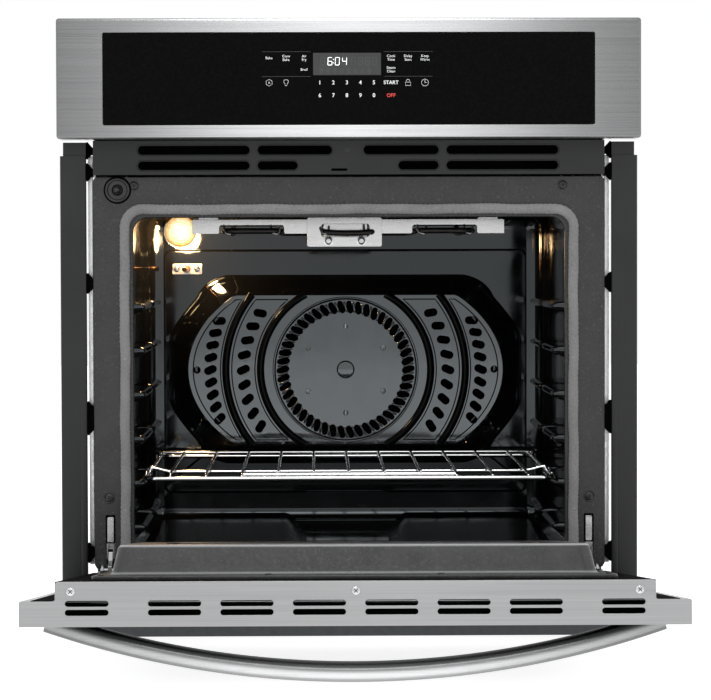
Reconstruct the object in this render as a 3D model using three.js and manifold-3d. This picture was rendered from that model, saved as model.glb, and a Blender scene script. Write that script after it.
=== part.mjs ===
// Built-in single electric wall oven, 27-inch class, with its door standing open.
// Millimetres, +Z up, +X to the right seen from the front, +Y into the cabinet.
// The origin is on the centre line, on the plane that the base rests on, at the cabinet's face.
import * as THREE from 'three';
import { mergeVertices } from 'three/addons/utils/BufferGeometryUtils.js';
import Module from 'manifold-3d';

const wasm = await Module();
wasm.setup();

// ---- Driving dimensions -------------------------------------------------------------------
const GAP = 0.3;                 // clearance between touching pieces
const SHEET = 2;                 // sheet thickness of the panels

const PANEL_W = 686;             // control panel and door, full width
const PANEL_H = 141;
const TOTAL_H = 730;
const PANEL_FRONT = -41.5;       // the control panel stands proud of the cabinet face
const GLASS_W = 577;
const GLASS_H = 108;
const GLASS_Z = 659;

const BODY_W = 604;              // chassis that goes into the cabinet
const BODY_BACK = 585;
const BODY_TOP = 722;

const FRAME_W = 608;             // enamelled front frame
const FRAME_TOP = 545.5;
const FRAME_BOTTOM = 80;
const OPEN_W = 513;              // mouth of the cavity
const OPEN_TOP = 497.5;
const OPEN_BOTTOM = 102;

const CAVITY_W = 541;
const CAVITY_TOP = 512;
const CAVITY_FLOOR = 87;
const CAVITY_BACK = 480;
const CORNER = 25;

const TRIM_IN = 311;             // side trims, measured from the centre line
const TRIM_OUT = 341.5;
const TRIM_FRONT = -12;

const HINGE_Y = -10;             // door hinge axis
const HINGE_Z = 79;
const OPEN_ANGLE = THREE.MathUtils.degToRad(85);
const DOOR_OUT = -49;            // door planes, measured from the hinge axis with the door shut
const DOOR_STEP = -23;
const DOOR_IN = -3;
const DOOR_TOP = 507;
const DOOR_BOTTOM = -29;
const DOOR_NARROW_W = 613;
const HINGE_X = 284.8;

const FAN_Z = 299.5;             // convection fan axis
const RACK_PITCH = 53.3;
const RACK_LEVEL = 181;          // top of the guide rib that the rack rests on

// ---- Materials ------------------------------------------------------------------------------
const finish = (color, roughness, metalness) =>
  new THREE.MeshStandardMaterial({ color, roughness, metalness });
const BRUSHED = () => finish(0xb8babc, 0.35, 1.0);
const ZINC = () => finish(0xa9abac, 0.45, 1.0);
const CHROME = () => finish(0xe6e8ea, 0.1, 1.0);
const ENAMEL = () => finish(0x3f4041, 0.35, 0.0);
const CAVITY_ENAMEL = () => finish(0x0b0c0d, 0.08, 0.0);
const DARK_PAINT = () => finish(0x37383a, 0.5, 0.2);
const BLACK_GLASS = () => finish(0x050506, 0.04, 0.0);
const PLASTIC = () => finish(0x1c1c1d, 0.45, 0.0);
const WOOL = () => finish(0xd9c98a, 0.95, 0.0);

// ---- Geometry helpers -----------------------------------------------------------------------
const model = new THREE.Group();

function toSolid(geometry) {
  const bare = geometry.clone();
  bare.deleteAttribute('normal');
  bare.deleteAttribute('uv');
  const merged = mergeVertices(bare, 1e-4);
  return new wasm.Manifold(new wasm.Mesh({
    numProp: 3,
    vertProperties: new Float32Array(merged.attributes.position.array),
    triVerts: new Uint32Array(merged.index.array),
  }));
}

function toGeometry(solid) {
  const mesh = solid.getMesh();
  const geometry = new THREE.BufferGeometry();
  geometry.setAttribute('position', new THREE.BufferAttribute(mesh.vertProperties, 3));
  geometry.setIndex(new THREE.BufferAttribute(mesh.triVerts, 1));
  geometry.computeVertexNormals();
  return geometry;
}

function join(parts) {
  let solid = toSolid(parts[0]);
  for (const part of parts.slice(1)) solid = solid.add(toSolid(part));
  return toGeometry(solid);
}

function cut(body, tools) {
  let solid = toSolid(body);
  for (const tool of tools) solid = solid.subtract(toSolid(tool));
  return toGeometry(solid);
}

function add(name, geometry, material, parent = model) {
  const mesh = new THREE.Mesh(geometry, material);
  mesh.name = name;
  parent.add(mesh);
  return mesh;
}

function box(x0, x1, y0, y1, z0, z1) {
  const geometry = new THREE.BoxGeometry(x1 - x0, y1 - y0, z1 - z0);
  return geometry.translate((x0 + x1) / 2, (y0 + y1) / 2, (z0 + z1) / 2);
}

// Rounded rectangle with a few straight facets at each corner.
function roundRect(x0, x1, z0, z1, r, Kind = THREE.Shape, facets = 3) {
  const points = [];
  const corners = [[x1 - r, z0 + r, -0.5], [x1 - r, z1 - r, 0], [x0 + r, z1 - r, 0.5], [x0 + r, z0 + r, 1]];
  for (const [cx, cz, turn] of corners) {
    for (let i = 0; i <= facets; i += 1) {
      const a = Math.PI * (turn + (0.5 * i) / facets);
      points.push([cx + r * Math.cos(a), cz + r * Math.sin(a)]);
    }
  }
  return polygon(points, Kind);
}

function polygon(points, Kind = THREE.Shape) {
  return new Kind(points.map(([a, b]) => new THREE.Vector2(a, b)));
}

// A shape drawn in X and Z, standing from y0 to y1.
function plateXZ(shape, y0, y1, curveSegments = 6) {
  const geometry = new THREE.ExtrudeGeometry(shape, { depth: y1 - y0, bevelEnabled: false, curveSegments });
  return geometry.rotateX(Math.PI / 2).translate(0, y1, 0);
}

// A shape drawn in Y and Z, running from x0 to x1.
function barX(shape, x0, x1, curveSegments = 6) {
  const geometry = new THREE.ExtrudeGeometry(shape, { depth: x1 - x0, bevelEnabled: false, curveSegments });
  const basis = new THREE.Matrix4().makeBasis(
    new THREE.Vector3(0, 1, 0), new THREE.Vector3(0, 0, 1), new THREE.Vector3(1, 0, 0));
  return geometry.applyMatrix4(basis).translate(x0, 0, 0);
}

// A shape drawn in X and Y, standing from z0 to z1.
function slabXY(shape, z0, z1, curveSegments = 6) {
  const geometry = new THREE.ExtrudeGeometry(shape, { depth: z1 - z0, bevelEnabled: false, curveSegments });
  return geometry.translate(0, 0, z0);
}

function rodX(x0, x1, y, z, r, sides = 12) {
  return new THREE.CylinderGeometry(r, r, x1 - x0, sides).rotateZ(Math.PI / 2).translate((x0 + x1) / 2, y, z);
}

function rodY(y0, y1, x, z, r, sides = 12) {
  return new THREE.CylinderGeometry(r, r, y1 - y0, sides).translate(x, (y0 + y1) / 2, z);
}

function rodZ(z0, z1, x, y, r, sides = 12) {
  return new THREE.CylinderGeometry(r, r, z1 - z0, sides).rotateX(Math.PI / 2).translate(x, y, (z0 + z1) / 2);
}

function circle(x, z, r, facets = 16) {
  const points = [];
  for (let i = 0; i < facets; i += 1) {
    const a = (i / facets) * Math.PI * 2;
    points.push([x + r * Math.cos(a), z + r * Math.sin(a)]);
  }
  return polygon(points, THREE.Path);
}

// A tube along a smooth curve through the points.
function bentTube(points, radius, steps, sides = 8, tension = 0.5) {
  const path = new THREE.CatmullRomCurve3(points, false, 'catmullrom', tension);
  const section = new THREE.Shape();
  for (let i = 0; i < sides; i += 1) {
    const a = (i / sides) * Math.PI * 2;
    const p = [radius * Math.cos(a), radius * Math.sin(a)];
    if (i === 0) section.moveTo(...p);
    else section.lineTo(...p);
  }
  return new THREE.ExtrudeGeometry(section, { steps, extrudePath: path, bevelEnabled: false });
}

const v3 = (x, y, z) => new THREE.Vector3(x, y, z);
const SIDES = [['left', -1], ['right', 1]];

// Straight box on one side of the centre line, given by its distances from it.
function sideBox(sign, xIn, xOut, y0, y1, z0, z1) {
  return box(Math.min(sign * xIn, sign * xOut), Math.max(sign * xIn, sign * xOut), y0, y1, z0, z1);
}

// ---- Chassis panels ---------------------------------------------------------------------------
const BODY_HALF = BODY_W / 2;
const RECESS_BACK = 22;          // room behind the open door's lower edge
const RECESS_BOTTOM = 18;
const SIDE_FRONT = 3;            // the side panels start behind the front frame

function chassis() {
  const pan = cut(
    box(-BODY_HALF + SHEET + GAP, BODY_HALF - SHEET - GAP, TRIM_FRONT, BODY_BACK - SHEET - GAP, 0, 14),
    [box(-BODY_HALF + 2 * SHEET + GAP, BODY_HALF - 2 * SHEET - GAP, TRIM_FRONT + SHEET,
      BODY_BACK - 2 * SHEET - GAP, SHEET, 20)]);
  add('base_pan', pan, ZINC());

  for (const [side, sign] of SIDES) {
    const outline = polygon([[SIDE_FRONT, RECESS_BOTTOM], [RECESS_BACK, RECESS_BOTTOM],
      [RECESS_BACK, FRAME_BOTTOM], [SIDE_FRONT, FRAME_BOTTOM], [SIDE_FRONT, BODY_TOP],
      [BODY_BACK, BODY_TOP], [BODY_BACK, 0.5], [SIDE_FRONT, 0.5]]);
    const x0 = sign > 0 ? BODY_HALF - SHEET : -BODY_HALF;
    const wall = barX(outline, x0, x0 + SHEET);
    const slots = [];
    for (let i = 0; i < 5; i += 1) {
      slots.push(box(x0 - 1, x0 + SHEET + 1, 330 + i * 40, 350 + i * 40, 625, 631));
      slots.push(box(x0 - 1, x0 + SHEET + 1, 330 + i * 40, 350 + i * 40, 641, 647));
    }
    add(`${side}_side_panel`, cut(wall, slots), ZINC());
  }

  const inner = BODY_HALF - SHEET - GAP;
  const lid = cut(box(-inner, inner, 0, BODY_BACK - SHEET - GAP, BODY_TOP - 12, BODY_TOP),
    [box(-inner + SHEET, inner - SHEET, SHEET, BODY_BACK - 2 * SHEET - GAP, BODY_TOP - 14, BODY_TOP - SHEET)]);
  add('top_panel', lid, ZINC());

  const back = polygon([[-inner, 0.5], [inner, 0.5], [inner, BODY_TOP], [-inner, BODY_TOP]]);
  for (let row = 0; row < 4; row += 1) {
    for (const x of [-150, -50, 50, 150]) {
      back.holes.push(roundRect(x - 34, x + 34, 600 + row * 22, 608 + row * 22, 3.9, THREE.Path, 2));
    }
  }
  back.holes.push(circle(0, FAN_Z, 52, 24));
  back.holes.push(circle(-190, 120, 14));
  add('back_panel', plateXZ(back, BODY_BACK - SHEET, BODY_BACK, 4), ZINC());

  const baffle = polygon([[-inner, RECESS_BOTTOM - 3], [inner, RECESS_BOTTOM - 3],
    [inner, FRAME_BOTTOM - GAP], [-inner, FRAME_BOTTOM - GAP]]);
  for (let i = -4; i <= 4; i += 1) {
    baffle.holes.push(roundRect(i * 60 - 22, i * 60 + 22, 32, 40, 3.9, THREE.Path, 2));
  }
  add('lower_baffle', plateXZ(baffle, RECESS_BACK, RECESS_BACK + SHEET, 4), DARK_PAINT());

  const sill = polygon([[TRIM_FRONT - SHEET - GAP, 0.5], [TRIM_FRONT - GAP, 0.5],
    [TRIM_FRONT - GAP, 15.5], [-1, 15.5], [-1, 17.5], [TRIM_FRONT - SHEET - GAP, 17.5]]);
  add('lower_trim', barX(sill, -TRIM_OUT, TRIM_OUT), DARK_PAINT());
}

// ---- Side trims: flat channels that lap over the cabinet's face ---------------------------------
const FRAME_HALF = FRAME_W / 2;
const TABS = [[560, 579], [408, 431], [240, 279], [88, 111]];

function trims() {
  for (const [side, sign] of SIDES) {
    const pieces = [
      sideBox(sign, TRIM_IN, TRIM_OUT, TRIM_FRONT, TRIM_FRONT + SHEET, 62, 570),
      sideBox(sign, TRIM_IN, TRIM_IN + SHEET, TRIM_FRONT, 0, 62, 586),
      sideBox(sign, TRIM_OUT - SHEET, TRIM_OUT, TRIM_FRONT, 0, 62, 570),
      sideBox(sign, TRIM_IN, TRIM_OUT - 3.5, TRIM_FRONT + 3, TRIM_FRONT + 3 + SHEET, 566, 586),
      sideBox(sign, TRIM_OUT - 12, TRIM_OUT, -SHEET, 0, 62, 570),
    ];
    for (const [low, high] of TABS) {
      pieces.push(sideBox(sign, FRAME_HALF + GAP, TRIM_IN + 1, -4, -SHEET, low, high));
      pieces.push(sideBox(sign, FRAME_HALF + GAP, FRAME_HALF + GAP + SHEET, -4, 30, low, high));
    }
    add(`${side}_trim`, join(pieces), DARK_PAINT());
  }
}

// ---- Control panel -------------------------------------------------------------------------------
const PANEL_BOTTOM = TOTAL_H - PANEL_H;
const GLASS_BOTTOM = GLASS_Z - GLASS_H / 2;
const GLASS_TOP = GLASS_Z + GLASS_H / 2;

function controlPanel() {
  const half = PANEL_W / 2;
  const shell = plateXZ(roundRect(-half, half, PANEL_BOTTOM, TOTAL_H, 3), PANEL_FRONT, -GAP, 3);
  const hollow = box(-half + SHEET, half - SHEET, PANEL_FRONT + SHEET, 5, PANEL_BOTTOM + SHEET, TOTAL_H - SHEET);
  const window = box(-GLASS_W / 2, GLASS_W / 2, PANEL_FRONT - 2, 0, GLASS_BOTTOM, GLASS_TOP);
  add('control_bezel', cut(shell, [hollow, window]), BRUSHED());

  const pane = roundRect(-GLASS_W / 2 + GAP, GLASS_W / 2 - GAP, GLASS_BOTTOM + GAP, GLASS_TOP - GAP, 2);
  add('control_glass', plateXZ(pane, PANEL_FRONT + 0.4, PANEL_FRONT + 4.4, 3), BLACK_GLASS());

  const casing = cut(box(-46, 42, PANEL_FRONT + 5, PANEL_FRONT + 13, 658, 694),
    [box(-42, 37.5, PANEL_FRONT + 4, PANEL_FRONT + 8, 663, 689)]);
  add('display_module', casing, finish(0x585b5c, 0.4, 0.0));

  const board = [box(-150, 150, PANEL_FRONT + 14, PANEL_FRONT + 16, 618, 700)];
  for (const [x, w, h] of [[-110, 18, 24], [-60, 30, 14], [55, 34, 20], [112, 22, 26]]) {
    board.push(box(x - w / 2, x + w / 2, PANEL_FRONT + 15.5, PANEL_FRONT + 28, 655 - h / 2, 655 + h / 2));
  }
  add('control_board', join(board), finish(0x1f5a36, 0.5, 0.0));
}

// ---- Vent panel under the control panel ---------------------------------------------------------
const VENT_ROWS = [
  [570.2, 583.4, [[-251, -116], [-109.5, -18.4], [15.8, 107.6], [114, 249.5]]],
  [551.9, 564.9, [[-251, -116], [-109.5, -59.1], [57, 107.6], [114, 249.5]]],
];

function ventPanel() {
  const half = FRAME_HALF - 1.5;
  const face = polygon([[-half, 547.5], [half, 547.5], [half, 588.2], [-half, 588.2]]);
  for (const [low, high, spans] of VENT_ROWS) {
    for (const [x0, x1] of spans) {
      face.holes.push(roundRect(x0, x1, low, high, (high - low) / 2 - 0.1, THREE.Path, 4));
    }
  }
  face.holes.push(roundRect(-21, -2, 552, 554.6, 1.2, THREE.Path));
  const pieces = [
    plateXZ(face, -12, -10, 5),
    box(-half, half, -12, -0.6, 586.2, 588.2),
    box(-half, half, -12, -0.6, 547.5, 549.5),
  ];
  add('vent_panel', join(pieces), DARK_PAINT());
}

// ---- Enamelled front frame, gasket and light switch ----------------------------------------------
const SWITCH_X = -274.5;
const SWITCH_Z = 530;
const SWITCH_TIP = -16.7;
const HALF_OPEN = OPEN_W / 2;
const SLOT_IN = 279.5;
const SLOT_OUT = 290;

function frontFrame() {
  const face = roundRect(-FRAME_HALF, FRAME_HALF, FRAME_BOTTOM, FRAME_TOP, 7, THREE.Shape, 4);
  face.holes.push(roundRect(-HALF_OPEN, HALF_OPEN, OPEN_BOTTOM, OPEN_TOP, 18, THREE.Path, 6));
  for (const [, sign] of SIDES) {
    const xs = [sign * SLOT_IN, sign * SLOT_OUT].sort((a, b) => a - b);
    face.holes.push(roundRect(xs[0], xs[1], 84, 143, 1.5, THREE.Path, 1));
  }
  face.holes.push(circle(SWITCH_X, SWITCH_Z, 10.3, 20));
  add('front_frame', plateXZ(face, 0, 2.5, 6), ENAMEL());
}

function doorGasket() {
  const centre = 266.2;
  const top = 506.8;
  const bend = 22;
  const half = 6.3;
  const legs = [
    sideBox(-1, centre - half, centre + half, -7.4, -GAP, 92, top - bend),
    sideBox(1, centre - half, centre + half, -7.4, -GAP, 92, top - bend),
    box(-centre + bend, centre - bend, -7.4, -GAP, top - half, top + half),
  ];
  for (const [, sign] of SIDES) {
    const elbow = new THREE.Shape();
    elbow.absarc(0, 0, bend + half, 0, Math.PI / 2, false);
    elbow.absarc(0, 0, bend - half, Math.PI / 2, 0, true);
    const piece = plateXZ(elbow, -7.4, -GAP, 8);
    if (sign < 0) piece.translate(0, 3.85, 0).rotateZ(Math.PI).translate(0, -3.85, 0);
    legs.push(piece.translate(sign * (centre - bend), 0, top - bend));
  }
  return legs;
}

function sealAndSwitch() {
  add('door_gasket', join(doorGasket()), finish(0x828282, 0.95, 0.0));
  const housing = cut(
    join([rodY(-4, -GAP, SWITCH_X, SWITCH_Z, 14.6, 32), rodY(-1, 26, SWITCH_X, SWITCH_Z, 9.8, 24)]),
    [rodY(-5, 24, SWITCH_X, SWITCH_Z, 4.2, 16)]);
  add('light_switch_housing', housing, PLASTIC());
  const nose = SWITCH_TIP + 3.6;
  const plunger = join([rodY(nose, 18, SWITCH_X, SWITCH_Z, 3.6, 16),
    new THREE.SphereGeometry(3.6, 16, 8).translate(SWITCH_X, nose, SWITCH_Z)]);
  add('light_switch_plunger', plunger, PLASTIC());
}

// ---- Cavity: wrap with its rack ribs, stamped back, insulation --------------------------------------
const CAVITY_HALF = CAVITY_W / 2;
const CAVITY_FRONT = 2.5 + GAP;
const RIB_TIP = 246;

function cavity() {
  const ring = roundRect(-CAVITY_HALF - SHEET, CAVITY_HALF + SHEET, CAVITY_FLOOR - SHEET,
    CAVITY_TOP + SHEET, CORNER + SHEET, THREE.Shape, 5);
  ring.holes.push(roundRect(-CAVITY_HALF, CAVITY_HALF, CAVITY_FLOOR, CAVITY_TOP, CORNER, THREE.Path, 5));
  const pieces = [plateXZ(ring, CAVITY_FRONT, CAVITY_BACK - GAP, 6)];
  const flange = roundRect(-CAVITY_HALF - 6, CAVITY_HALF + 6, CAVITY_FLOOR - 4, CAVITY_TOP + 12, CORNER + 4, THREE.Shape, 5);
  flange.holes.push(roundRect(-CAVITY_HALF - 1, CAVITY_HALF + 1, CAVITY_FLOOR - 1, CAVITY_TOP + 1,
    CORNER + 1, THREE.Path, 5));
  pieces.push(plateXZ(flange, CAVITY_FRONT, CAVITY_FRONT + SHEET, 6));
  for (let level = -1; level <= 4; level += 1) {
    const top = RACK_LEVEL + level * RACK_PITCH;
    for (const [, sign] of SIDES) {
      const rib = polygon([[sign * (CAVITY_HALF + 1), top - 16], [sign * (RIB_TIP + 2), top - 7],
        [sign * RIB_TIP, top - 4], [sign * (RIB_TIP + 1.5), top], [sign * (CAVITY_HALF + 1), top]]);
      pieces.push(plateXZ(rib, 40, 225));
      pieces.push(plateXZ(rib, 255, 440));
    }
  }
  add('cavity_wrap', join(pieces), CAVITY_ENAMEL());

  const back = roundRect(-CAVITY_HALF - SHEET, CAVITY_HALF + SHEET, CAVITY_FLOOR - SHEET,
    CAVITY_TOP + SHEET, CORNER + SHEET, THREE.Shape, 5);
  back.holes.push(circle(0, FAN_Z, 14));
  back.holes.push(circle(-221, 485, 17));
  back.holes.push(circle(-213, 434.6, 3.5));
  for (const x of [-151, 151]) back.holes.push(circle(x, 482, 4.5));
  add('cavity_back', plateXZ(back, CAVITY_BACK, CAVITY_BACK + SHEET, 6), CAVITY_ENAMEL());

  const wrap = roundRect(-297, 297, 40, 548 - 4, 30);
  wrap.holes.push(roundRect(-CAVITY_HALF - 6, CAVITY_HALF + 6, CAVITY_FLOOR - 32, CAVITY_TOP + 6,
    CORNER + 6, THREE.Path));
  add('insulation_wrap', plateXZ(wrap, 64, 520), WOOL());
}

// ---- Rear wall fittings: fan, cover, lamp and temperature sensor --------------------------------------
const COVER_FRONT = 452;

// Barrel-shaped outline, drawn round the fan axis.
function coverOutline(grow) {
  const shape = new THREE.Shape();
  const top = 127 + grow;
  const flat = 159;
  const wide = 237 + grow;
  shape.moveTo(flat, FAN_Z + top);
  shape.quadraticCurveTo(190, FAN_Z + top - 6, 200 + grow, FAN_Z + top - 30);
  shape.quadraticCurveTo(wide, FAN_Z + 55, wide, FAN_Z + 40);
  shape.lineTo(wide, FAN_Z - 40);
  shape.quadraticCurveTo(wide, FAN_Z - 55, 200 + grow, FAN_Z - top + 30);
  shape.quadraticCurveTo(190, FAN_Z - top + 6, flat, FAN_Z - top);
  shape.lineTo(-flat, FAN_Z - top);
  shape.quadraticCurveTo(-190, FAN_Z - top + 6, -200 - grow, FAN_Z - top + 30);
  shape.quadraticCurveTo(-wide, FAN_Z - 55, -wide, FAN_Z - 40);
  shape.lineTo(-wide, FAN_Z + 40);
  shape.quadraticCurveTo(-wide, FAN_Z + 55, -200 - grow, FAN_Z + top - 30);
  shape.quadraticCurveTo(-190, FAN_Z + top - 6, -flat, FAN_Z + top);
  return shape;
}

// Slot between two radii and two angles round the fan axis.
function arcSlot(r0, r1, a0, a1) {
  const at = (r, a) => [r * Math.cos(a), FAN_Z + r * Math.sin(a)];
  return polygon([at(r0, a0), at(r1, a0), at(r1, a1), at(r0, a1)], THREE.Path);
}

function fanCover() {
  const face = coverOutline(0);
  for (let i = 0; i < 24; i += 1) {
    const a = (i / 24) * Math.PI * 2;
    face.holes.push(arcSlot(76, 91, a, a + 0.17));
  }
  const skirt = cut(plateXZ(coverOutline(0), COVER_FRONT, CAVITY_BACK - GAP),
    [plateXZ(coverOutline(-SHEET), COVER_FRONT - 1, CAVITY_BACK + 1)]);
  add('fan_cover', join([plateXZ(face, COVER_FRONT, COVER_FRONT + SHEET), skirt]), CAVITY_ENAMEL());
}

function convectionFan() {
  const parts = [rodY(474, 476, 0, FAN_Z, 70, 32), rodY(458, 500, 0, FAN_Z, 5, 12)];
  for (let i = 0; i < 8; i += 1) {
    const blade = box(26, 68, 457, 475, -0.9, 0.9);
    blade.rotateY((i / 8) * Math.PI * 2).translate(0, 0, FAN_Z);
    parts.push(blade);
  }
  add('convection_fan', join(parts), finish(0x9c9d9e, 0.4, 1.0));

  const motor = cut(
    join([rodY(502, 556, 0, FAN_Z, 36, 24), box(-62, 62, 500, 503, FAN_Z - 14, FAN_Z + 14),
      box(-30, 30, 502, 550, FAN_Z - 40, FAN_Z - 20)]),
    [rodY(490, 503.5, 0, FAN_Z, 6.5, 16)]);
  const bracketLegs = [box(-62, -60, 482.3, 502, FAN_Z - 14, FAN_Z + 14),
    box(60, 62, 482.3, 502, FAN_Z - 14, FAN_Z + 14)];
  add('fan_motor', join([motor, ...bracketLegs]), finish(0x55575a, 0.5, 0.8));
}

function lampAndSensor() {
  const x = -221;
  const z = 485;
  const dome = new THREE.LatheGeometry([[0, 22], [9, 20.5], [16, 15.5], [20.5, 8], [21.5, 0], [21.5, -6],
    [16, -6], [16, 0], [14, 7], [10, 12.5], [5, 16], [0, 17]].reverse().map(([r, h]) => new THREE.Vector2(r, h)), 16);
  dome.rotateX(Math.PI);
  dome.translate(x, CAVITY_BACK - 7, z);
  add('lamp_glass', dome, finish(0xffe6bf, 0.05, 0.0));
  add('lamp_bulb', join([rodY(466, 482, x, z, 6, 12),
    new THREE.SphereGeometry(6, 12, 8).translate(x, 466, z)]), finish(0xfff3d8, 0.1, 0.0));
  const socket = cut(rodY(482.6, 512, x, z, 20, 24), [rodY(482, 500, x, z, 9, 12)]);
  add('lamp_socket', join([socket, rodY(500, 530, x, z, 6, 12)]), finish(0xe8e4da, 0.6, 0.0));

  const plate = join([box(x - 11.6, x + 28.6, CAVITY_BACK - 2 - GAP, CAVITY_BACK - GAP, 427.4, 441.6),
    rodY(CAVITY_BACK - 92, CAVITY_BACK - GAP, -213, 434.6, 3.2, 12),
    rodY(CAVITY_BACK - 5, CAVITY_BACK - 1, -226.5, 434.6, 3.8, 12),
    rodY(CAVITY_BACK - 5, CAVITY_BACK - 1, -199.5, 434.6, 3.8, 12),
    rodY(CAVITY_BACK - 2, CAVITY_BACK + 24, -213, 434.6, 3.0, 12)]);
  add('temperature_sensor', plate, finish(0xb9b7b2, 0.3, 1.0));
}

// ---- Heating elements -----------------------------------------------------------------------------
const BROIL_Z = 482;
const BRACKET_Y = 90;

// Straight runs joined by half-round bends, in a level plane, with both ends at the back.
function serpentine(xs, yFront, yBack, z, startY, radius, steps) {
  const points = [v3(xs[0], startY, z)];
  for (let i = 0; i < xs.length - 1; i += 1) {
    const r = (xs[i + 1] - xs[i]) / 2;
    const y = i % 2 === 0 ? yFront : yBack;
    const outward = i % 2 === 0 ? -1 : 1;
    for (let k = 0; k <= 6; k += 1) {
      const a = (k / 6) * Math.PI;
      const reach = outward * r * 0.55 * (Math.sin(a) - 1);
      points.push(v3(xs[i] + r - r * Math.cos(a), y + reach, z));
    }
  }
  points.push(v3(xs[xs.length - 1], startY, z));
  return bentTube(points, radius, steps, 6, 0.35);
}

function elements() {
  add('broil_element', serpentine([-151, -84, -33, 33, 84, 151], BRACKET_Y - 8, 430, BROIL_Z, 500, 3.4, 72),
    finish(0x2b2a29, 0.6, 0.3));

  const strip = polygon([[-190, 478.5], [-157, 478.5], [-157, 489], [-78, 489], [-78, 478.5], [-50, 478.5],
    [-50, 462.5], [41, 462.5], [41, 478.5], [78, 478.5], [78, 489], [157, 489], [157, 478.5], [190, 478.5],
    [190, 496], [-190, 496]]);
  strip.holes.push(roundRect(-39, 39, 474, 490, 5, THREE.Path));
  const hanger = [plateXZ(strip, BRACKET_Y, BRACKET_Y + 1.6, 4)];
  for (const x of [-170, 170]) {
    hanger.push(box(x - 12, x + 12, BRACKET_Y, BRACKET_Y + 1.6, 490, CAVITY_TOP - GAP));
    hanger.push(box(x - 12, x + 12, BRACKET_Y, BRACKET_Y + 18, CAVITY_TOP - 1.9, CAVITY_TOP - GAP));
  }
  for (const x of [-24, 16]) hanger.push(rodY(BRACKET_Y - 3, BRACKET_Y + 1, x, 469.5, 4, 12));
  add('broil_bracket', join(hanger), finish(0xc9cbcc, 0.25, 1.0));

  add('bake_element', serpentine([-180, -108, -36, 36, 108, 180], 70, 400, 70, 466, 3.4, 64),
    finish(0x2b2a29, 0.6, 0.3));
  const tray = cut(box(-230, 230, 40, 455, 56.5, 64), [box(-228.5, 228.5, 41.5, 453.5, 58, 66)]);
  add('bake_shield', tray, ZINC());
}

// ---- Door, drawn shut and measured from its hinge axis -------------------------------------------------
const door = new THREE.Group();
door.position.set(0, HINGE_Y, HINGE_Z);
door.rotation.x = OPEN_ANGLE;
model.add(door);

const SLOT_ROWS = [[-28.4, -22.4], [-37.5, -31.5]];
const SLOT_SPANS = [[-296, -251.8], [-211.5, -157.6], [-137.8, -83.9], [-64, -10.1], [9.7, 63.6],
  [83.4, 137.3], [157.1, 211], [251.3, 295.5]];
const WINDOW_HALF = 228;
const WINDOW_LOW = 92;
const WINDOW_HIGH = 372;

function doorShell() {
  const half = PANEL_W / 2;
  const narrow = DOOR_NARROW_W / 2;
  const capLow = DOOR_TOP - SHEET;
  const tub = cut(box(-half, half, DOOR_OUT, DOOR_STEP, DOOR_BOTTOM, capLow - GAP),
    [box(-half + SHEET, half - SHEET, DOOR_OUT + SHEET, DOOR_STEP + 5, DOOR_BOTTOM + SHEET, DOOR_TOP + 5),
      box(-WINDOW_HALF, WINDOW_HALF, DOOR_OUT - 5, DOOR_OUT + 5, WINDOW_LOW, WINDOW_HIGH)]);
  add('door_outer_skin', tub, BRUSHED(), door);

  const cap = polygon([[-half, DOOR_OUT], [half, DOOR_OUT], [half, DOOR_STEP], [narrow, DOOR_STEP],
    [narrow, DOOR_IN - 3], [narrow - 3, DOOR_IN], [-narrow + 3, DOOR_IN], [-narrow, DOOR_IN - 3],
    [-narrow, DOOR_STEP], [-half, DOOR_STEP]]);
  for (const [low, high] of SLOT_ROWS) {
    for (const [x0, x1] of SLOT_SPANS) cap.holes.push(roundRect(x0, x1, low, high, 2.9, THREE.Path, 3));
  }
  add('door_top_cap', slabXY(cap, capLow, DOOR_TOP, 4), BRUSHED(), door);

  const pane = roundRect(-WINDOW_HALF + GAP, WINDOW_HALF - GAP, WINDOW_LOW + GAP, WINDOW_HIGH - GAP, 4);
  add('door_outer_glass', plateXZ(pane, DOOR_OUT + 0.2, DOOR_OUT + 4.2, 3), BLACK_GLASS(), door);

  const slots = SIDES.map(([, sign]) => sideBox(sign, HINGE_X - 10.5, HINGE_X + 10.5, -12, 10, DOOR_BOTTOM - 5, 62));
  const frame = cut(box(-narrow, narrow, DOOR_STEP + GAP, DOOR_IN, DOOR_BOTTOM, capLow - GAP),
    [box(-narrow + SHEET, narrow - SHEET, DOOR_STEP - 5, DOOR_IN - SHEET, DOOR_BOTTOM + SHEET, DOOR_TOP + 5),
      box(-215, 215, -10, 5, 62, 380), ...slots]);
  add('door_inner_frame', frame, BRUSHED(), door);
}

// Stamped enamelled liner: a flat flange and a tapered plug that enters the mouth of the cavity.
const PLUG_LOW = 29;
const PLUG_HIGH = 413;

function taperedBlock(halfBase, halfTop, low, high, inset, y0, y1, r) {
  const geometry = plateXZ(roundRect(-halfBase, halfBase, low, high, r, THREE.Shape, 5), y0, y1);
  const position = geometry.attributes.position;
  const middle = (low + high) / 2;
  const scaleX = halfTop / halfBase;
  const scaleZ = (high - low - 2 * inset) / (high - low);
  for (let i = 0; i < position.count; i += 1) {
    if (position.getY(i) > (y0 + y1) / 2) {
      position.setX(i, position.getX(i) * scaleX);
      position.setZ(i, middle + (position.getZ(i) - middle) * scaleZ);
    }
  }
  return geometry;
}

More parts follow.
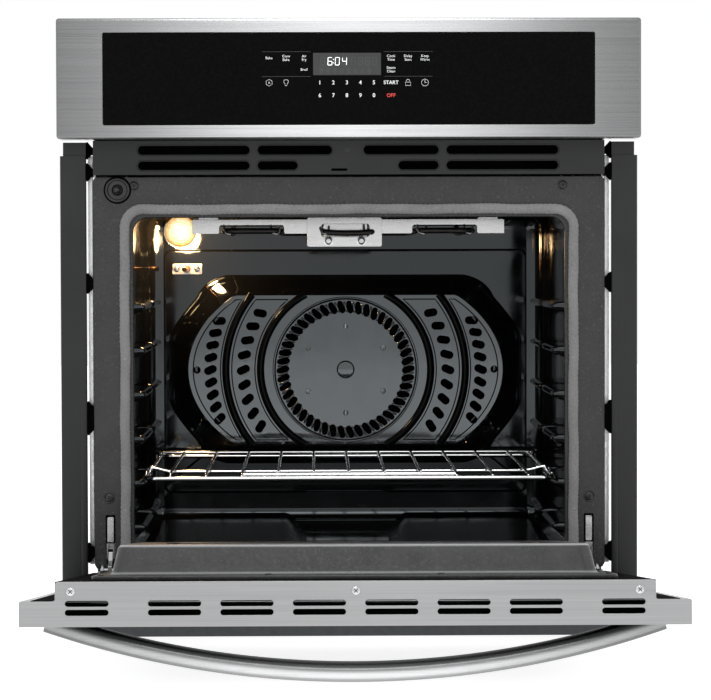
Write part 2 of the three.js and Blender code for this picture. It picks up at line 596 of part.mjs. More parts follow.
function doorLiner() {
  const flange = plateXZ(roundRect(-274.3, 274.3, 9, 447, 10), DOOR_IN + GAP, 2);
  const plug = taperedBlock(255, 246, PLUG_LOW, PLUG_HIGH, 9, 1, 29.6, 14);
  const hollow = taperedBlock(252, 243, PLUG_LOW + 3, PLUG_HIGH - 3, 9, DOOR_IN - 4, 27.6, 14);
  const window = box(-200, 200, 20, 40, 72, 370);
  add('door_liner', cut(join([flange, plug]), [hollow, window]), ENAMEL(), door);

  add('door_inner_glass', plateXZ(roundRect(-212, 212, 60, 382, 4), 23.2, 27.2, 3), BLACK_GLASS(), door);
  add('door_middle_glass', plateXZ(roundRect(-205, 205, 66, 376, 4), -1.5, 2.5, 3),
    finish(0x9fb0ac, 0.04, 0.0), door);
  const pad = cut(box(-240, 240, 4, 21, PLUG_LOW + 16, PLUG_HIGH - 14), [box(-216, 216, 0, 30, 56, 386)]);
  add('door_insulation', pad, WOOL(), door);
}

function doorHandle() {
  const middle = 462;
  const reach = 48;
  const halfSpan = 305;
  const points = [];
  const R = (halfSpan * halfSpan + reach * reach) / (2 * reach);
  const spread = Math.asin(halfSpan / R);
  for (let i = 0; i <= 24; i += 1) {
    const a = -spread + (i / 24) * 2 * spread;
    points.push(v3(R * Math.sin(a), DOOR_OUT - 0.5 - (R * Math.cos(a) - (R - reach)), middle));
  }
  const section = new THREE.Shape();
  for (let i = 0; i < 14; i += 1) {
    const a = (i / 14) * Math.PI * 2;
    const p = [10.8 * Math.cos(a), 14 * Math.sin(a)];
    if (i === 0) section.moveTo(...p);
    else section.lineTo(...p);
  }
  const path = new THREE.CatmullRomCurve3(points);
  const bar = new THREE.ExtrudeGeometry(section, { steps: 28, extrudePath: path, bevelEnabled: false });
  const face = box(-400, 400, DOOR_OUT - GAP, 40, 400, 520);
  const feet = SIDES.map(([, sign]) => sideBox(sign, 270, 276, DOOR_OUT - 12, DOOR_OUT + 1, 455, 469));
  add('handle', cut(join([bar, ...feet]), [face]), BRUSHED(), door);
  for (const [side, sign] of SIDES) {
    const block = join([sideBox(sign, 262, 284, DOOR_OUT + SHEET + GAP, DOOR_OUT + 14, 448, 476),
      rodY(DOOR_OUT + 13, DOOR_OUT + 20, sign * 273, 462, 5, 12)]);
    add(`handle_mount_${side}`, block, ZINC(), door);
  }
}

function doorHinges() {
  for (const [side, sign] of SIDES) {
    const x = sign * HINGE_X;
    const channel = cut(
      join([box(x - 10, x + 10, -20, -8, 14, 250), box(x - 10, x - 7.6, -14, 0, -6, 60),
        box(x + 7.6, x + 10, -14, 0, -6, 60), rodX(x - 10, x - 7.6, 0, 0, 7), rodX(x + 7.6, x + 10, 0, 0, 7)]),
      [box(x - 7.5, x + 7.5, -18, -5, 10, 246), box(x - 7, x + 7, -30, 10, -20, 24),
        rodX(x - 12, x + 12, 0, 0, 3.3)]);
    add(`hinge_channel_${side}`, channel, ZINC(), door);
    add(`hinge_pin_${side}`, rodX(x - 11.5, x + 11.5, 0, 0, 3, 12), finish(0x8a8c8e, 0.3, 1.0), door);
    add(`hinge_spring_${side}`, cut(rodZ(60, 200, x, -13, 4.4, 12), [rodZ(50, 210, x, -13, 2.4, 12)]),
      finish(0x6f7173, 0.4, 1.0), door);
  }
}

// ---- Hinge arms that hook into the front frame, with their lock levers ------------------------------------
const LOCK_Y = 6;
const LOCK_Z = 94;

function hingeArms() {
  for (const [side, sign] of SIDES) {
    const x = sign * HINGE_X;
    const outline = polygon([[-16, 75], [-11, 72.5], [-6, 74], [-2, 84.6], [4, 85], [30, 89], [44, 88.6],
      [44, 99], [34, 101], [4, 101], [0, 100], [-2.8, 90], [-8, 88], [-16, 84]]);
    const arm = cut(barX(outline, x - 2.5, x + 2.5), [rodX(x - 5, x + 5, HINGE_Y, HINGE_Z, 3.3),
      rodX(x - 5, x + 5, LOCK_Y, LOCK_Z, 1.7)]);
    add(`hinge_arm_${side}`, arm, ZINC());

    const seat = join([box(x - 4.6, x + 4.6, -1, 1, 112, 140), box(x - 4.6, x + 4.6, -1, 5, 128, 140),
      box(x - 7, x + 7, 3, 5, 112, 150), box(x - 7, x - 5, 3, 60, 81, 150), box(x + 5, x + 7, 3, 60, 81, 150),
      box(x - 7, x + 7, 58, 60, 81, 150), rodX(x - 7, x + 7, 38, 85.4, 2.8, 10)]);
    add(`hinge_receiver_${side}`, seat, CHROME());

    const lever = join([box(x - 4.6, x - 3, LOCK_Y - 4, LOCK_Y + 3, LOCK_Z - 3, LOCK_Z + 16),
      box(x + 3, x + 4.6, LOCK_Y - 4, LOCK_Y + 3, LOCK_Z - 3, LOCK_Z + 16),
      box(x - 4.6, x + 4.6, LOCK_Y - 4, LOCK_Y - 2, LOCK_Z + 9, LOCK_Z + 16),
      rodX(x - 4.6, x + 4.6, LOCK_Y, LOCK_Z, 1.4, 8)]);
    add(`hinge_lock_${side}`, lever, finish(0x8a8c8e, 0.3, 1.0));
  }
}

// ---- Oven rack ---------------------------------------------------------------------------------------------
const RACK_FRONT = 35;
const RACK_BACK = 446;

function rack() {
  const railZ = RACK_LEVEL + 3.4;
  const wireZ = railZ + 5;
  const halfRail = 246.5;
  const frame = [
    rodX(-halfRail, halfRail, RACK_FRONT, railZ, 3, 8),
    rodX(-halfRail, halfRail, RACK_BACK, railZ + 2, 3, 8),
    rodX(-127, 127, RACK_FRONT + 6, wireZ - 0.5, 2.6, 8),
    rodX(-halfRail, halfRail, 165, railZ + 2.4, 2.4, 8),
    rodX(-halfRail, halfRail, 330, railZ + 2.4, 2.4, 8),
  ];
  for (const x of [-halfRail, halfRail]) frame.push(rodY(RACK_FRONT - 2.5, RACK_BACK + 2.5, x, railZ, 3, 8));
  for (let i = -5; i <= 5; i += 1) {
    frame.push(rodY(RACK_FRONT - 1, RACK_BACK + 1, i * 43.1, wireZ, 2.1, 6));
  }
  add('oven_rack', join(frame), CHROME());
}

// ---- Cooling blower on top, and the terminal box behind -----------------------------------------------------
const BLOWER_Y = 330;

function coolingAndWiring() {
  const plan = new THREE.Shape();
  plan.moveTo(-120, 40);
  plan.lineTo(120, 40);
  plan.lineTo(70, 330);
  plan.absarc(0, BLOWER_Y, 70, 0, Math.PI);
  plan.lineTo(-120, 40);
  const outer = slabXY(plan, 549, 590, 10);
  const inner = slabXY(plan, 550.5, 588.5, 10).translate(0, -BLOWER_Y, 0).scale(0.975, 0.975, 1)
    .translate(0, BLOWER_Y, 0);
  const housing = cut(outer, [inner, box(-115, 115, 20, 60, 551, 588), rodZ(580, 600, 0, BLOWER_Y, 46, 24)]);
  add('blower_housing', housing, ZINC());
  const wheel = [rodZ(553, 555, 0, BLOWER_Y, 50, 24), rodZ(553, 592, 0, BLOWER_Y, 4, 10)];
  for (let i = 0; i < 12; i += 1) {
    wheel.push(box(34, 49, -0.8, 0.8, 554, 582).rotateZ((i / 12) * Math.PI * 2).translate(0, BLOWER_Y, 0));
  }
  add('blower_wheel', join(wheel), finish(0x9c9d9e, 0.45, 1.0));
  const motor = cut(join([rodZ(593.5, 640, 0, BLOWER_Y, 32, 24), box(-64, 64, 320, 340, 593.5, 596),
    box(-64, -60, 320, 340, 590.3, 595), box(60, 64, 320, 340, 590.3, 595)]),
  [rodZ(590, 600, 0, BLOWER_Y, 5.5, 12)]);
  add('blower_motor', motor, finish(0x55575a, 0.5, 0.8));

  const boxWalls = cut(box(-240, -140, BODY_BACK + GAP, BODY_BACK + 34, 84, 156),
    [box(-238, -142, BODY_BACK - 1, BODY_BACK + 32, 86, 154)]);
  const gland = rodX(-146, -128, BODY_BACK + 18, 120, 11, 16);
  const bore = rodX(-150, -120, BODY_BACK + 18, 120, 7.5, 16);
  add('junction_box', cut(join([boxWalls, gland]), [bore]), ZINC());
}

chassis();
trims();
controlPanel();
ventPanel();
frontFrame();
sealAndSwitch();
cavity();
fanCover();
convectionFan();
lampAndSensor();
elements();
doorShell();
doorLiner();
doorHandle();
doorHinges();
hingeArms();
rack();
coolingAndWiring();

export default model;
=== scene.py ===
import math

import bmesh
import bpy
from mathutils import Matrix, Vector
from mathutils.geometry import delaunay_2d_cdt


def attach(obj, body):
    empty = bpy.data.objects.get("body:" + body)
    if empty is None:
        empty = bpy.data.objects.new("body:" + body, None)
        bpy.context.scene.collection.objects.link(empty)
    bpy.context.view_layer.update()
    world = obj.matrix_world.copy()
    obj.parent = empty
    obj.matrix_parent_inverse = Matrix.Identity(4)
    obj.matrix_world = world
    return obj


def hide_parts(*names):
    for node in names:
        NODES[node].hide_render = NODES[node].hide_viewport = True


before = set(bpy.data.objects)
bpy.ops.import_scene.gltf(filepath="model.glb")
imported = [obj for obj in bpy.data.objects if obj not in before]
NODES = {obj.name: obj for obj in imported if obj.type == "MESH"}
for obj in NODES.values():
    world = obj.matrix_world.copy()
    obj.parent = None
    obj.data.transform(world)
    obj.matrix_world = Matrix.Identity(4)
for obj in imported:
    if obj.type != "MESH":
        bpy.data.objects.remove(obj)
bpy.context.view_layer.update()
SCENE = bpy.context.scene
MM = 0.001

# ---- Camera ----------------------------------------------------------------------------------
CAMERA_AT = Vector((-0.04012, -3.56258, 0.44892))
YAW, PITCH, ROLL = 0.0133, 0.0307, -0.0028
SENSOR_MM = 36.0
LENS_MM = 151.85
FAR_CLIP_M = 60


def add_camera():
    ahead = Vector((math.sin(YAW) * math.cos(PITCH), math.cos(YAW) * math.cos(PITCH), -math.sin(PITCH)))
    right = Vector((math.cos(YAW), -math.sin(YAW), 0))
    up = right.cross(ahead)
    across = right * math.cos(ROLL) + up * math.sin(ROLL)
    upward = up * math.cos(ROLL) - right * math.sin(ROLL)
    data = bpy.data.cameras.new("camera")
    data.lens = LENS_MM
    data.sensor_width = SENSOR_MM
    data.sensor_fit = "HORIZONTAL"
    data.clip_end = FAR_CLIP_M
    cam = bpy.data.objects.new("camera", data)
    basis = Matrix((across, upward, -ahead)).transposed().to_4x4()
    cam.matrix_world = Matrix.Translation(CAMERA_AT) @ basis
    SCENE.collection.objects.link(cam)
    SCENE.camera = cam


add_camera()

# ---- Materials -------------------------------------------------------------------------------


class Paint:
    """A Principled material and short calls to wire its nodes."""

    def __init__(self, name, base, rough, metal=0.0, **sockets):
        self.mat = bpy.data.materials.new(name)
        self.mat.use_nodes = True
        self.nt = self.mat.node_tree
        self.bsdf = self.nt.nodes["Principled BSDF"]
        self.set("Base Color", (*base, 1.0))
        self.set("Roughness", rough)
        self.set("Metallic", metal)
        for key, value in sockets.items():
            self.set(key.replace("_", " "), value)
        self.coord = self.nt.nodes.new("ShaderNodeTexCoord").outputs["Object"]

    def set(self, socket, value):
        self.bsdf.inputs[socket].default_value = value

    def node(self, kind, **props):
        n = self.nt.nodes.new(kind)
        for key, value in props.items():
            setattr(n, key, value)
        return n

    def link(self, a, b):
        self.nt.links.new(a, b)

    def mapped(self, scale, rotation=(0, 0, 0)):
        n = self.node("ShaderNodeMapping")
        n.inputs["Scale"].default_value = scale
        n.inputs["Rotation"].default_value = rotation
        self.link(self.coord, n.inputs["Vector"])
        return n.outputs["Vector"]

    def noise(self, scale, detail=3.0, vector=None, rough=0.55):
        n = self.node("ShaderNodeTexNoise")
        n.inputs["Scale"].default_value = scale
        n.inputs["Detail"].default_value = detail
        n.inputs["Roughness"].default_value = rough
        self.link(vector or self.coord, n.inputs["Vector"])
        return n.outputs["Fac"]

    def cells(self, scale, feature="F1", vector=None):
        n = self.node("ShaderNodeTexVoronoi", feature=feature)
        n.inputs["Scale"].default_value = scale
        self.link(vector or self.coord, n.inputs["Vector"])
        return n.outputs

    def ramp(self, fac, stops):
        n = self.node("ShaderNodeValToRGB")
        while len(n.color_ramp.elements) < len(stops):
            n.color_ramp.elements.new(0.5)
        for element, (place, color) in zip(n.color_ramp.elements, stops):
            element.position = place
            element.color = (*color, 1.0) if hasattr(color, "__len__") else (color, color, color, 1.0)
        self.link(fac, n.inputs["Fac"])
        return n.outputs["Color"]

    def tones(self, fac, low, high):
        """Two tones, blended over the middle of a noise's range."""
        return self.ramp(fac, [(0.3, low), (0.7, high)])

    def span(self, fac, low, high, start=0.3, end=0.7):
        n = self.node("ShaderNodeMapRange")
        for key, value in (("From Min", start), ("From Max", end), ("To Min", low), ("To Max", high)):
            n.inputs[key].default_value = value
        self.link(fac, n.inputs["Value"])
        return n.outputs["Result"]

    def math(self, op, a, b):
        n = self.node("ShaderNodeMath", operation=op)
        for i, value in enumerate((a, b)):
            if hasattr(value, "links"):
                self.link(value, n.inputs[i])
            else:
                n.inputs[i].default_value = value
        return n.outputs[0]

    def mix(self, fac, a, b, mode="MIX"):
        n = self.node("ShaderNodeMix", data_type="RGBA", blend_type=mode)
        for socket, value in ((n.inputs["Factor"], fac), (n.inputs[6], a), (n.inputs[7], b)):
            if hasattr(value, "links"):
                self.link(value, socket)
            elif hasattr(value, "__len__"):
                socket.default_value = (*value, 1.0)
            else:
                socket.default_value = value
        return n.outputs[2]

    def bump(self, height, strength, distance):
        n = self.node("ShaderNodeBump")
        n.inputs["Strength"].default_value = strength
        n.inputs["Distance"].default_value = distance
        self.link(height, n.inputs["Height"])
        self.link(n.outputs["Normal"], self.bsdf.inputs["Normal"])

    def axis(self, name):
        n = self.node("ShaderNodeSeparateXYZ")
        self.link(self.coord, n.inputs[0])
        return n.outputs[name]

    def to(self, socket, output):
        self.link(output, self.bsdf.inputs[socket])


def scaled(color, share):
    return tuple(min(1, c * share) for c in color)


def brushed_steel():
    """Stainless sheet with a fine horizontal grain, and a painted highlight that makes its colour brighter
    towards the middle of the front.
    """
    p = Paint("brushed_steel", (0.62, 0.625, 0.63), 0.27, 1.0, Anisotropic=0.6, Anisotropic_Rotation=0.25)
    grain = p.noise(1.0, 4.0, p.mapped((4.0, 1400.0, 1400.0)))
    broad = p.noise(1.0, 2.0, p.mapped((1.5, 60.0, 60.0)))
    away = p.math("ABSOLUTE", p.axis("X"), 0)
    # Painted highlight: the colour darkens from the middle towards both ends.
    painted_highlight = p.ramp(p.span(away, 0, 1, 0.0, 0.36), [(0.0, 1.0), (0.17, 0.93), (0.355, 0.81), (0.45, 0.705),
                                                  (0.55, 0.60), (0.65, 0.48), (0.75, 0.393), (0.845, 0.335),
                                                  (1.0, 0.27)])
    tone = p.tones(grain, (0.61, 0.615, 0.622), (0.775, 0.782, 0.79))
    p.to("Base Color", p.mix(1.0, tone, painted_highlight, "MULTIPLY"))
    p.to("Roughness", p.span(p.math("ADD", p.math("MULTIPLY", grain, 0.7), p.math("MULTIPLY", broad, 0.3)),
                             0.2, 0.36))
    p.bump(grain, 0.10, 0.0002)
    return p.mat


def shaded_satin_steel():
    """The same sheet where it folds over the door's edge: a little duller, with its colour darkened evenly as
    painted shade.
    """
    p = Paint("shaded_satin_steel", (0.47, 0.475, 0.48), 0.36, 1.0, Anisotropic=0.4, Anisotropic_Rotation=0.25)
    grain = p.noise(1.0, 4.0, p.mapped((5.0, 1200.0, 1200.0)))
    broad = p.noise(3.0, 2.0)
    # Painted shade: these tones sit well below those of the front's steel.
    p.to("Base Color", p.mix(0.25, p.tones(grain, (0.315, 0.318, 0.323), (0.40, 0.404, 0.41)),
                             p.tones(broad, 0.31, 0.40)))
    p.to("Roughness", p.span(grain, 0.3, 0.44))
    p.bump(grain, 0.08, 0.0002)
    return p.mat


def handle_steel():
    """Satin tube brushed along its length, with painted light in its colour: shade on the side that faces the
    door, at its front edge and towards its ends, and a highlight between.
    """
    p = Paint("handle_steel", (0.6, 0.605, 0.61), 0.24, 1.0)
    grain = p.noise(1.0, 4.0, p.mapped((6.0, 900.0, 900.0)))
    girth = p.node("ShaderNodeAttribute", attribute_name="girth").outputs["Fac"]
    # Painted shade and highlight round the section, read from the girth attribute.
    shade = p.ramp(girth, [(0.0, 0.07), (0.14, 0.09), (0.28, 0.16), (0.4, 0.36), (0.52, 0.72), (0.64, 0.95),
                           (0.74, 1.0), (0.8, 0.9), (0.85, 0.62), (0.92, 0.5), (1.0, 0.12)])
    # Painted shade towards the ends of the bar.
    painted_end_shade = p.ramp(p.math("ABSOLUTE", p.axis("X"), 0),
                   [(0.0, 1.0), (0.1, 0.94), (0.2, 0.66), (0.3, 0.4), (0.4, 0.3)])
    shade = p.mix(1.0, shade, painted_end_shade, "MULTIPLY")
    tone = p.tones(grain, (0.66, 0.665, 0.67), (0.80, 0.805, 0.81))
    p.to("Base Color", p.mix(1.0, tone, shade, "MULTIPLY"))
    p.to("Roughness", p.span(grain, 0.2, 0.32))
    p.bump(grain, 0.06, 0.0002)
    return p.mat


def bright_steel():
    """Polished stainless strip with a light grain and a few rubs."""
    p = Paint("bright_steel", (0.8, 0.805, 0.81), 0.24, 1.0)
    grain = p.noise(1.0, 3.0, p.mapped((40.0, 900.0, 900.0)))
    rubs = p.noise(60.0, 5.0)
    p.to("Base Color", p.mix(0.5, p.tones(grain, 0.50, 0.66),
                             p.ramp(rubs, [(0.35, 0.52), (0.65, 0.66)])))
    p.to("Roughness", p.span(rubs, 0.18, 0.34))
    p.bump(grain, 0.06, 0.0002)
    return p.mat


def chrome():
    p = Paint("chrome", (0.88, 0.885, 0.89), 0.07, 1.0)
    smear = p.noise(45.0, 4.0)
    p.to("Base Color", p.tones(smear, (0.80, 0.80, 0.81), (0.93, 0.93, 0.935)))
    p.to("Roughness", p.span(smear, 0.05, 0.16, 0.35, 0.75))
    p.bump(p.noise(500.0, 2.0), 0.03, 0.0002)
    return p.mat


def zinc():
    """Galvanised sheet: large soft spangle crystals and a dull sheen."""
    p = Paint("galvanised", (0.5, 0.51, 0.52), 0.42, 1.0)
    crystals = p.cells(190.0)["Color"]
    tone = p.node("ShaderNodeSeparateColor")
    p.link(crystals, tone.inputs[0])
    cloud = p.noise(9.0, 4.0)
    p.to("Base Color", p.mix(0.5, p.ramp(tone.outputs[0],
                                         [(0.0, (0.285, 0.292, 0.30)), (1.0, (0.365, 0.372, 0.38))]),
                             p.tones(cloud, 0.27, 0.36)))
    p.to("Roughness", p.span(tone.outputs[1], 0.32, 0.52, 0, 1))
    p.bump(p.noise(350.0, 3.0), 0.06, 0.0003)
    return p.mat


def dark_paint():
    """Satin powder coat with its fine orange peel."""
    p = Paint("dark_paint", (0.009, 0.0095, 0.0105), 0.38, 0.0, IOR=1.41)
    peel = p.noise(900.0, 2.0)
    cloud = p.noise(14.0, 3.0)
    p.to("Base Color", p.tones(cloud, (0.0065, 0.007, 0.0078), (0.011, 0.0115, 0.0122)))
    p.to("Roughness", p.span(cloud, 0.32, 0.46))
    p.bump(peel, 0.14, 0.0003)
    return p.mat


def speckled_enamel(name="speckled_enamel", base=0.015, rough=0.3):
    """Vitreous enamel: dark grey with fine pale flecks and tiny pits, and a painted highlight where a piece
    carries the edge attribute.
    """
    p = Paint(name, (base, base, base * 1.03), rough, 0.0, IOR=1.5)
    flecks = p.ramp(p.cells(620.0)["Distance"], [(0.16, 1.0), (0.3, 0.0)])
    rare = p.ramp(p.noise(260.0, 1.0), [(0.56, 0.0), (0.66, 1.0)])
    mask = p.math("MULTIPLY", flecks, rare)
    cloud = p.noise(38.0, 5.0)
    ground = p.tones(cloud, (base * 0.72, base * 0.73, base * 0.76), (base * 1.3, base * 1.3, base * 1.33))
    fired = p.mix(mask, ground, (0.17, 0.174, 0.182))
    # Painted highlight: the edge attribute lightens the colour along it.
    edge_highlight = p.node("ShaderNodeAttribute", attribute_name="edge").outputs["Fac"]
    p.to("Base Color", p.mix(edge_highlight, fired, (0.42, 0.425, 0.435)))
    p.to("Roughness", p.span(p.noise(260.0, 3.0), rough * 0.75, rough * 1.4))
    p.bump(p.noise(900.0, 3.0), 0.08, 0.0003)
    return p.mat


def cavity_enamel(name="cavity_enamel", rough=0.055, ior=1.58):
    """Glossy black fired enamel, with a faint waviness and the odd pale fleck."""
    p = Paint(name, (0.0035, 0.0038, 0.0042), rough, 0.0, IOR=ior)
    p.set("Specular Tint", (0.88, 0.96, 1.0, 1.0))
    flecks = p.ramp(p.cells(300.0)["Distance"], [(0.05, 1.0), (0.12, 0.0)])
    rare = p.ramp(p.noise(120.0, 1.0), [(0.66, 0.0), (0.72, 1.0)])
    p.to("Base Color", p.mix(p.math("MULTIPLY", flecks, rare), (0.0035, 0.0038, 0.0043), (0.06, 0.065, 0.07)))
    p.to("Roughness", p.span(p.noise(30.0, 4.0), rough * 0.6, rough * 2.0))
    p.bump(p.noise(22.0, 2.0), 0.05, 0.0006)
    return p.mat


def black_glass():
    p = Paint("black_glass", (0.002, 0.002, 0.0022), 0.03, 0.0, IOR=1.11)
    p.to("Roughness", p.span(p.noise(20.0, 4.0), 0.015, 0.06))
    p.to("Base Color", p.ramp(p.noise(300.0, 2.0), [(0.4, (0.0018, 0.0018, 0.002)),
                                                    (0.7, (0.003, 0.003, 0.0032))]))
    return p.mat


def door_glass():
    p = Paint("door_glass", (0.006, 0.0065, 0.0068), 0.04, 0.0, IOR=1.3)
    p.to("Roughness", p.span(p.noise(16.0, 5.0), 0.02, 0.1, 0.35, 0.75))
    p.to("Base Color", p.ramp(p.cells(420.0)["Distance"],
                              [(0.2, (0.009, 0.0095, 0.01)), (0.35, (0.004, 0.004, 0.0045))]))
    return p.mat


def plastic(name, color, rough=0.42, ior=1.5):
    p = Paint(name, color, rough, 0.0, IOR=ior)
    grain = p.noise(700.0, 2.0)
    p.to("Base Color", p.tones(p.noise(60.0, 3.0), scaled(color, 0.85), scaled(color, 1.15)))
    p.to("Roughness", p.span(grain, rough * 0.8, rough * 1.2))
    p.bump(grain, 0.1, 0.0002)
    return p.mat


def metal(name, color, rough, grain=120.0):
    p = Paint(name, color, rough, 1.0)
    n = p.noise(grain, 4.0)
    p.to("Base Color", p.tones(n, scaled(color, 0.8), scaled(color, 1.15)))
    p.to("Roughness", p.span(n, rough * 0.7, rough * 1.35))
    p.bump(p.noise(grain * 4, 2.0), 0.06, 0.0003)
    return p.mat


def rope():
    p = Paint("gasket_rope", (0.2, 0.2, 0.2), 0.9, 0.0)
    fibre = p.noise(900.0, 4.0)
    soil = p.noise(26.0, 3.0)
    p.to("Base Color", p.mix(0.5, p.tones(fibre, 0.085, 0.27), p.tones(soil, 0.135, 0.205)))
    p.to("Roughness", p.span(fibre, 0.8, 0.98, 0, 1))
    p.bump(fibre, 0.5, 0.0006)
    return p.mat


def wool():
    p = Paint("glass_wool", (0.62, 0.5, 0.22), 0.95, 0.0)
    fibre = p.noise(1.0, 6.0, p.mapped((260.0, 900.0, 260.0)))
    p.to("Base Color", p.ramp(fibre, [(0.25, (0.42, 0.32, 0.12)), (0.75, (0.78, 0.66, 0.36))]))
    p.bump(fibre, 0.8, 0.002)
    return p.mat


def glow(name, color, strength, base=(0.8, 0.8, 0.8)):
    p = Paint(name, base, 0.4, 0.0)
    p.set("Emission Color", (*color, 1.0))
    p.set("Emission Strength", strength)
    p.to("Base Color", p.tones(p.noise(300.0, 2.0), scaled(base, 0.9), base))
    return p.mat


# Print colour with an emission that makes it glow: painted light, as the print is no lamp.
def ink_with_painted_glow(name, color, strength=0.35):
    p = Paint(name, color, 0.55, 0.0)
    p.to("Base Color", p.tones(p.noise(900.0, 2.0), scaled(color, 0.8), color))
    p.set("Emission Color", (*color, 1.0))
    p.set("Emission Strength", strength)
    return p.mat


def lamp_glow(name, centre):
    """Lit lamp cover: white-hot at the bulb, amber at the rim."""
    p = Paint(name, (1.0, 0.8, 0.5), 0.08, 0.0)
    shift = p.node("ShaderNodeVectorMath", operation="DISTANCE")
    shift.inputs[1].default_value = centre
    p.link(p.coord, shift.inputs[0])
    ripple = p.noise(160.0, 3.0)
    far = p.math("ADD", p.span(shift.outputs["Value"], 0, 1, 0.006, 0.026), p.span(ripple, -0.34, 0.34))
    heat = p.ramp(far, [(0.0, (1.0, 0.97, 0.86)), (0.4, (1.0, 0.84, 0.5)), (0.72, (0.98, 0.56, 0.19)),
                        (1.0, (0.62, 0.25, 0.06))])
    p.to("Emission Color", heat)
    p.to("Base Color", p.tones(ripple, (0.10, 0.07, 0.035), (0.17, 0.12, 0.06)))
    p.set("Emission Strength", 0.8)
    return p.mat


MAT = {
    "brushed": brushed_steel(), "handle": handle_steel(), "shaded_satin": shaded_satin_steel(), "bright": bright_steel(),
    "chrome": chrome(), "zinc": zinc(), "dark": dark_paint(), "enamel": speckled_enamel(),
    "liner": speckled_enamel("liner_enamel", 0.026, 0.34), "cavity": cavity_enamel(),
    "cover": cavity_enamel("cover_enamel", 0.05, 1.95), "floor": cavity_enamel("cavity_floor", 0.1, 1.05),
    "ridge": cavity_enamel("ridge_enamel", 0.08, 1.16), "black_glass": black_glass(),
    "door_glass": door_glass(), "rope": rope(), "wool": wool(),
    "segments": glow("lit_segments", (0.95, 0.98, 1.0), 1.3),
    "bulb": glow("lamp_filament", (1.0, 0.92, 0.72), 3.0),
    "lamp": lamp_glow("lamp_cover", (-0.221, 0.459, 0.487)),
}
for key, name, color, rough in (
        ("shade_steel", "shade_steel", (0.075, 0.08, 0.084), 0.4),
        ("strip", "seal_strip", (0.93, 0.935, 0.94), 0.35),
        ("recess", "screw_recess_shade", (0.045, 0.045, 0.047), 0.4),
        ("rotor", "stamped_aluminium", (0.55, 0.56, 0.57), 0.38),
        ("motor", "motor_paint", (0.12, 0.125, 0.13), 0.5),
        ("spring", "spring_steel", (0.35, 0.35, 0.36), 0.3),
        ("sheath", "element_sheath", (0.035, 0.033, 0.032), 0.42),
        ("copper", "probe_copper", (0.62, 0.3, 0.14), 0.3),
        ("screw", "screw_steel", (0.62, 0.62, 0.63), 0.22),
        ("dark_screw", "dark_screw", (0.05, 0.05, 0.052), 0.35),
        ("plate", "sensor_plate", (0.72, 0.68, 0.6), 0.3)):
    MAT[key] = metal(name, color, rough)
for key, name, color, rough in (
        ("black_plastic", "black_plastic", (0.014, 0.014, 0.0145), 0.42),
        ("display", "display_grey", (0.027, 0.0275, 0.028), 0.35),
        ("display_faint", "display_faint", (0.05, 0.051, 0.052), 0.4),
        ("board", "circuit_board", (0.02, 0.1, 0.045), 0.4),
        ("ceramic", "ceramic", (0.75, 0.72, 0.66), 0.6)):
    MAT[key] = plastic(name, color, rough)
# Near-black matte: painted shade in the sheets behind slots and gaps and in the frame's shadow lines, and the
# black paint of the door's inner frame and the trim hooks.
MAT["void"] = plastic("black_paint_and_painted_shade", (0.0016, 0.0016, 0.0017), 0.8, 1.06)
for key, name, color, strength in (("ink", "ink_white", (0.8, 0.81, 0.82), 0.3),
                                   ("ink_dim", "ink_grey", (0.07, 0.07, 0.072), 0.05),
                                   ("ink_red", "ink_red", (0.75, 0.06, 0.05), 0.3)):
    MAT[key] = ink_with_painted_glow(name, color, strength)

SIDES = ("left", "right")
NODE_MATERIAL = {
    "zinc": ["base_pan", "left_side_panel", "right_side_panel", "top_panel", "back_panel", "bake_shield",
             "blower_housing", "junction_box"]
            + [f"{part}_{side}" for part in ("handle_mount", "hinge_channel", "hinge_arm") for side in SIDES],
    "shade_steel": ["lower_trim"],
    "void": ["door_inner_frame"],
    "dark": ["lower_baffle", "left_trim", "right_trim", "vent_panel"],
    "brushed": ["control_bezel", "door_outer_skin", "handle"],
    "shaded_satin": ["door_top_cap"],
    "black_glass": ["control_glass"],
    "door_glass": ["door_outer_glass", "door_inner_glass", "door_middle_glass"],
    "display": ["display_module"],
    "board": ["control_board"],
    "enamel": ["front_frame"],
    "rope": ["door_gasket"],
    "black_plastic": ["light_switch_housing", "light_switch_plunger"],
    "cavity": ["cavity_wrap", "cavity_back"],
    "wool": ["insulation_wrap", "door_insulation"],
    "cover": ["fan_cover"],
    "rotor": ["convection_fan", "blower_wheel"],
    "motor": ["fan_motor", "blower_motor"],
    "lamp": ["lamp_glass"],
    "bulb": ["lamp_bulb"],
    "ceramic": ["lamp_socket"],
    "plate": ["temperature_sensor"],
    "sheath": ["broil_element", "bake_element"],
    "bright": ["broil_bracket", "hinge_receiver_left", "hinge_receiver_right"],
    "liner": ["door_liner"],
    "spring": [f"hinge_{part}_{side}" for part in ("pin", "spring", "lock") for side in SIDES],
    "chrome": ["oven_rack"],
}

SHARP_DEG = 32
EASED_EDGE_DEG = 40
EASED_EDGE_MM = 0.4
WELD_MM = 0.01


def dress_nodes():
    """Gives each carried-over node its material, eased edges and even shading."""
    for key, names in NODE_MATERIAL.items():
        for name in names:
            mesh = NODES[name].data
            mesh.materials.clear()
            mesh.materials.append(MAT[key])
            mesh.shade_smooth()
            mesh.set_sharp_from_angle(angle=math.radians(SHARP_DEG))
            weld = NODES[name].modifiers.new("weld", "WELD")
            weld.merge_threshold = WELD_MM * MM
            bevel = NODES[name].modifiers.new("edges", "BEVEL")
            bevel.width = EASED_EDGE_MM * MM
            bevel.segments = 2
            bevel.limit_method = "ANGLE"
            bevel.angle_limit = math.radians(EASED_EDGE_DEG)
            even = NODES[name].modifiers.new("normals", "WEIGHTED_NORMAL")
            even.keep_sharp = True
            even.weight = 90


dress_nodes()

# ---- Mesh helpers, in millimetres ------------------------------------------------------------


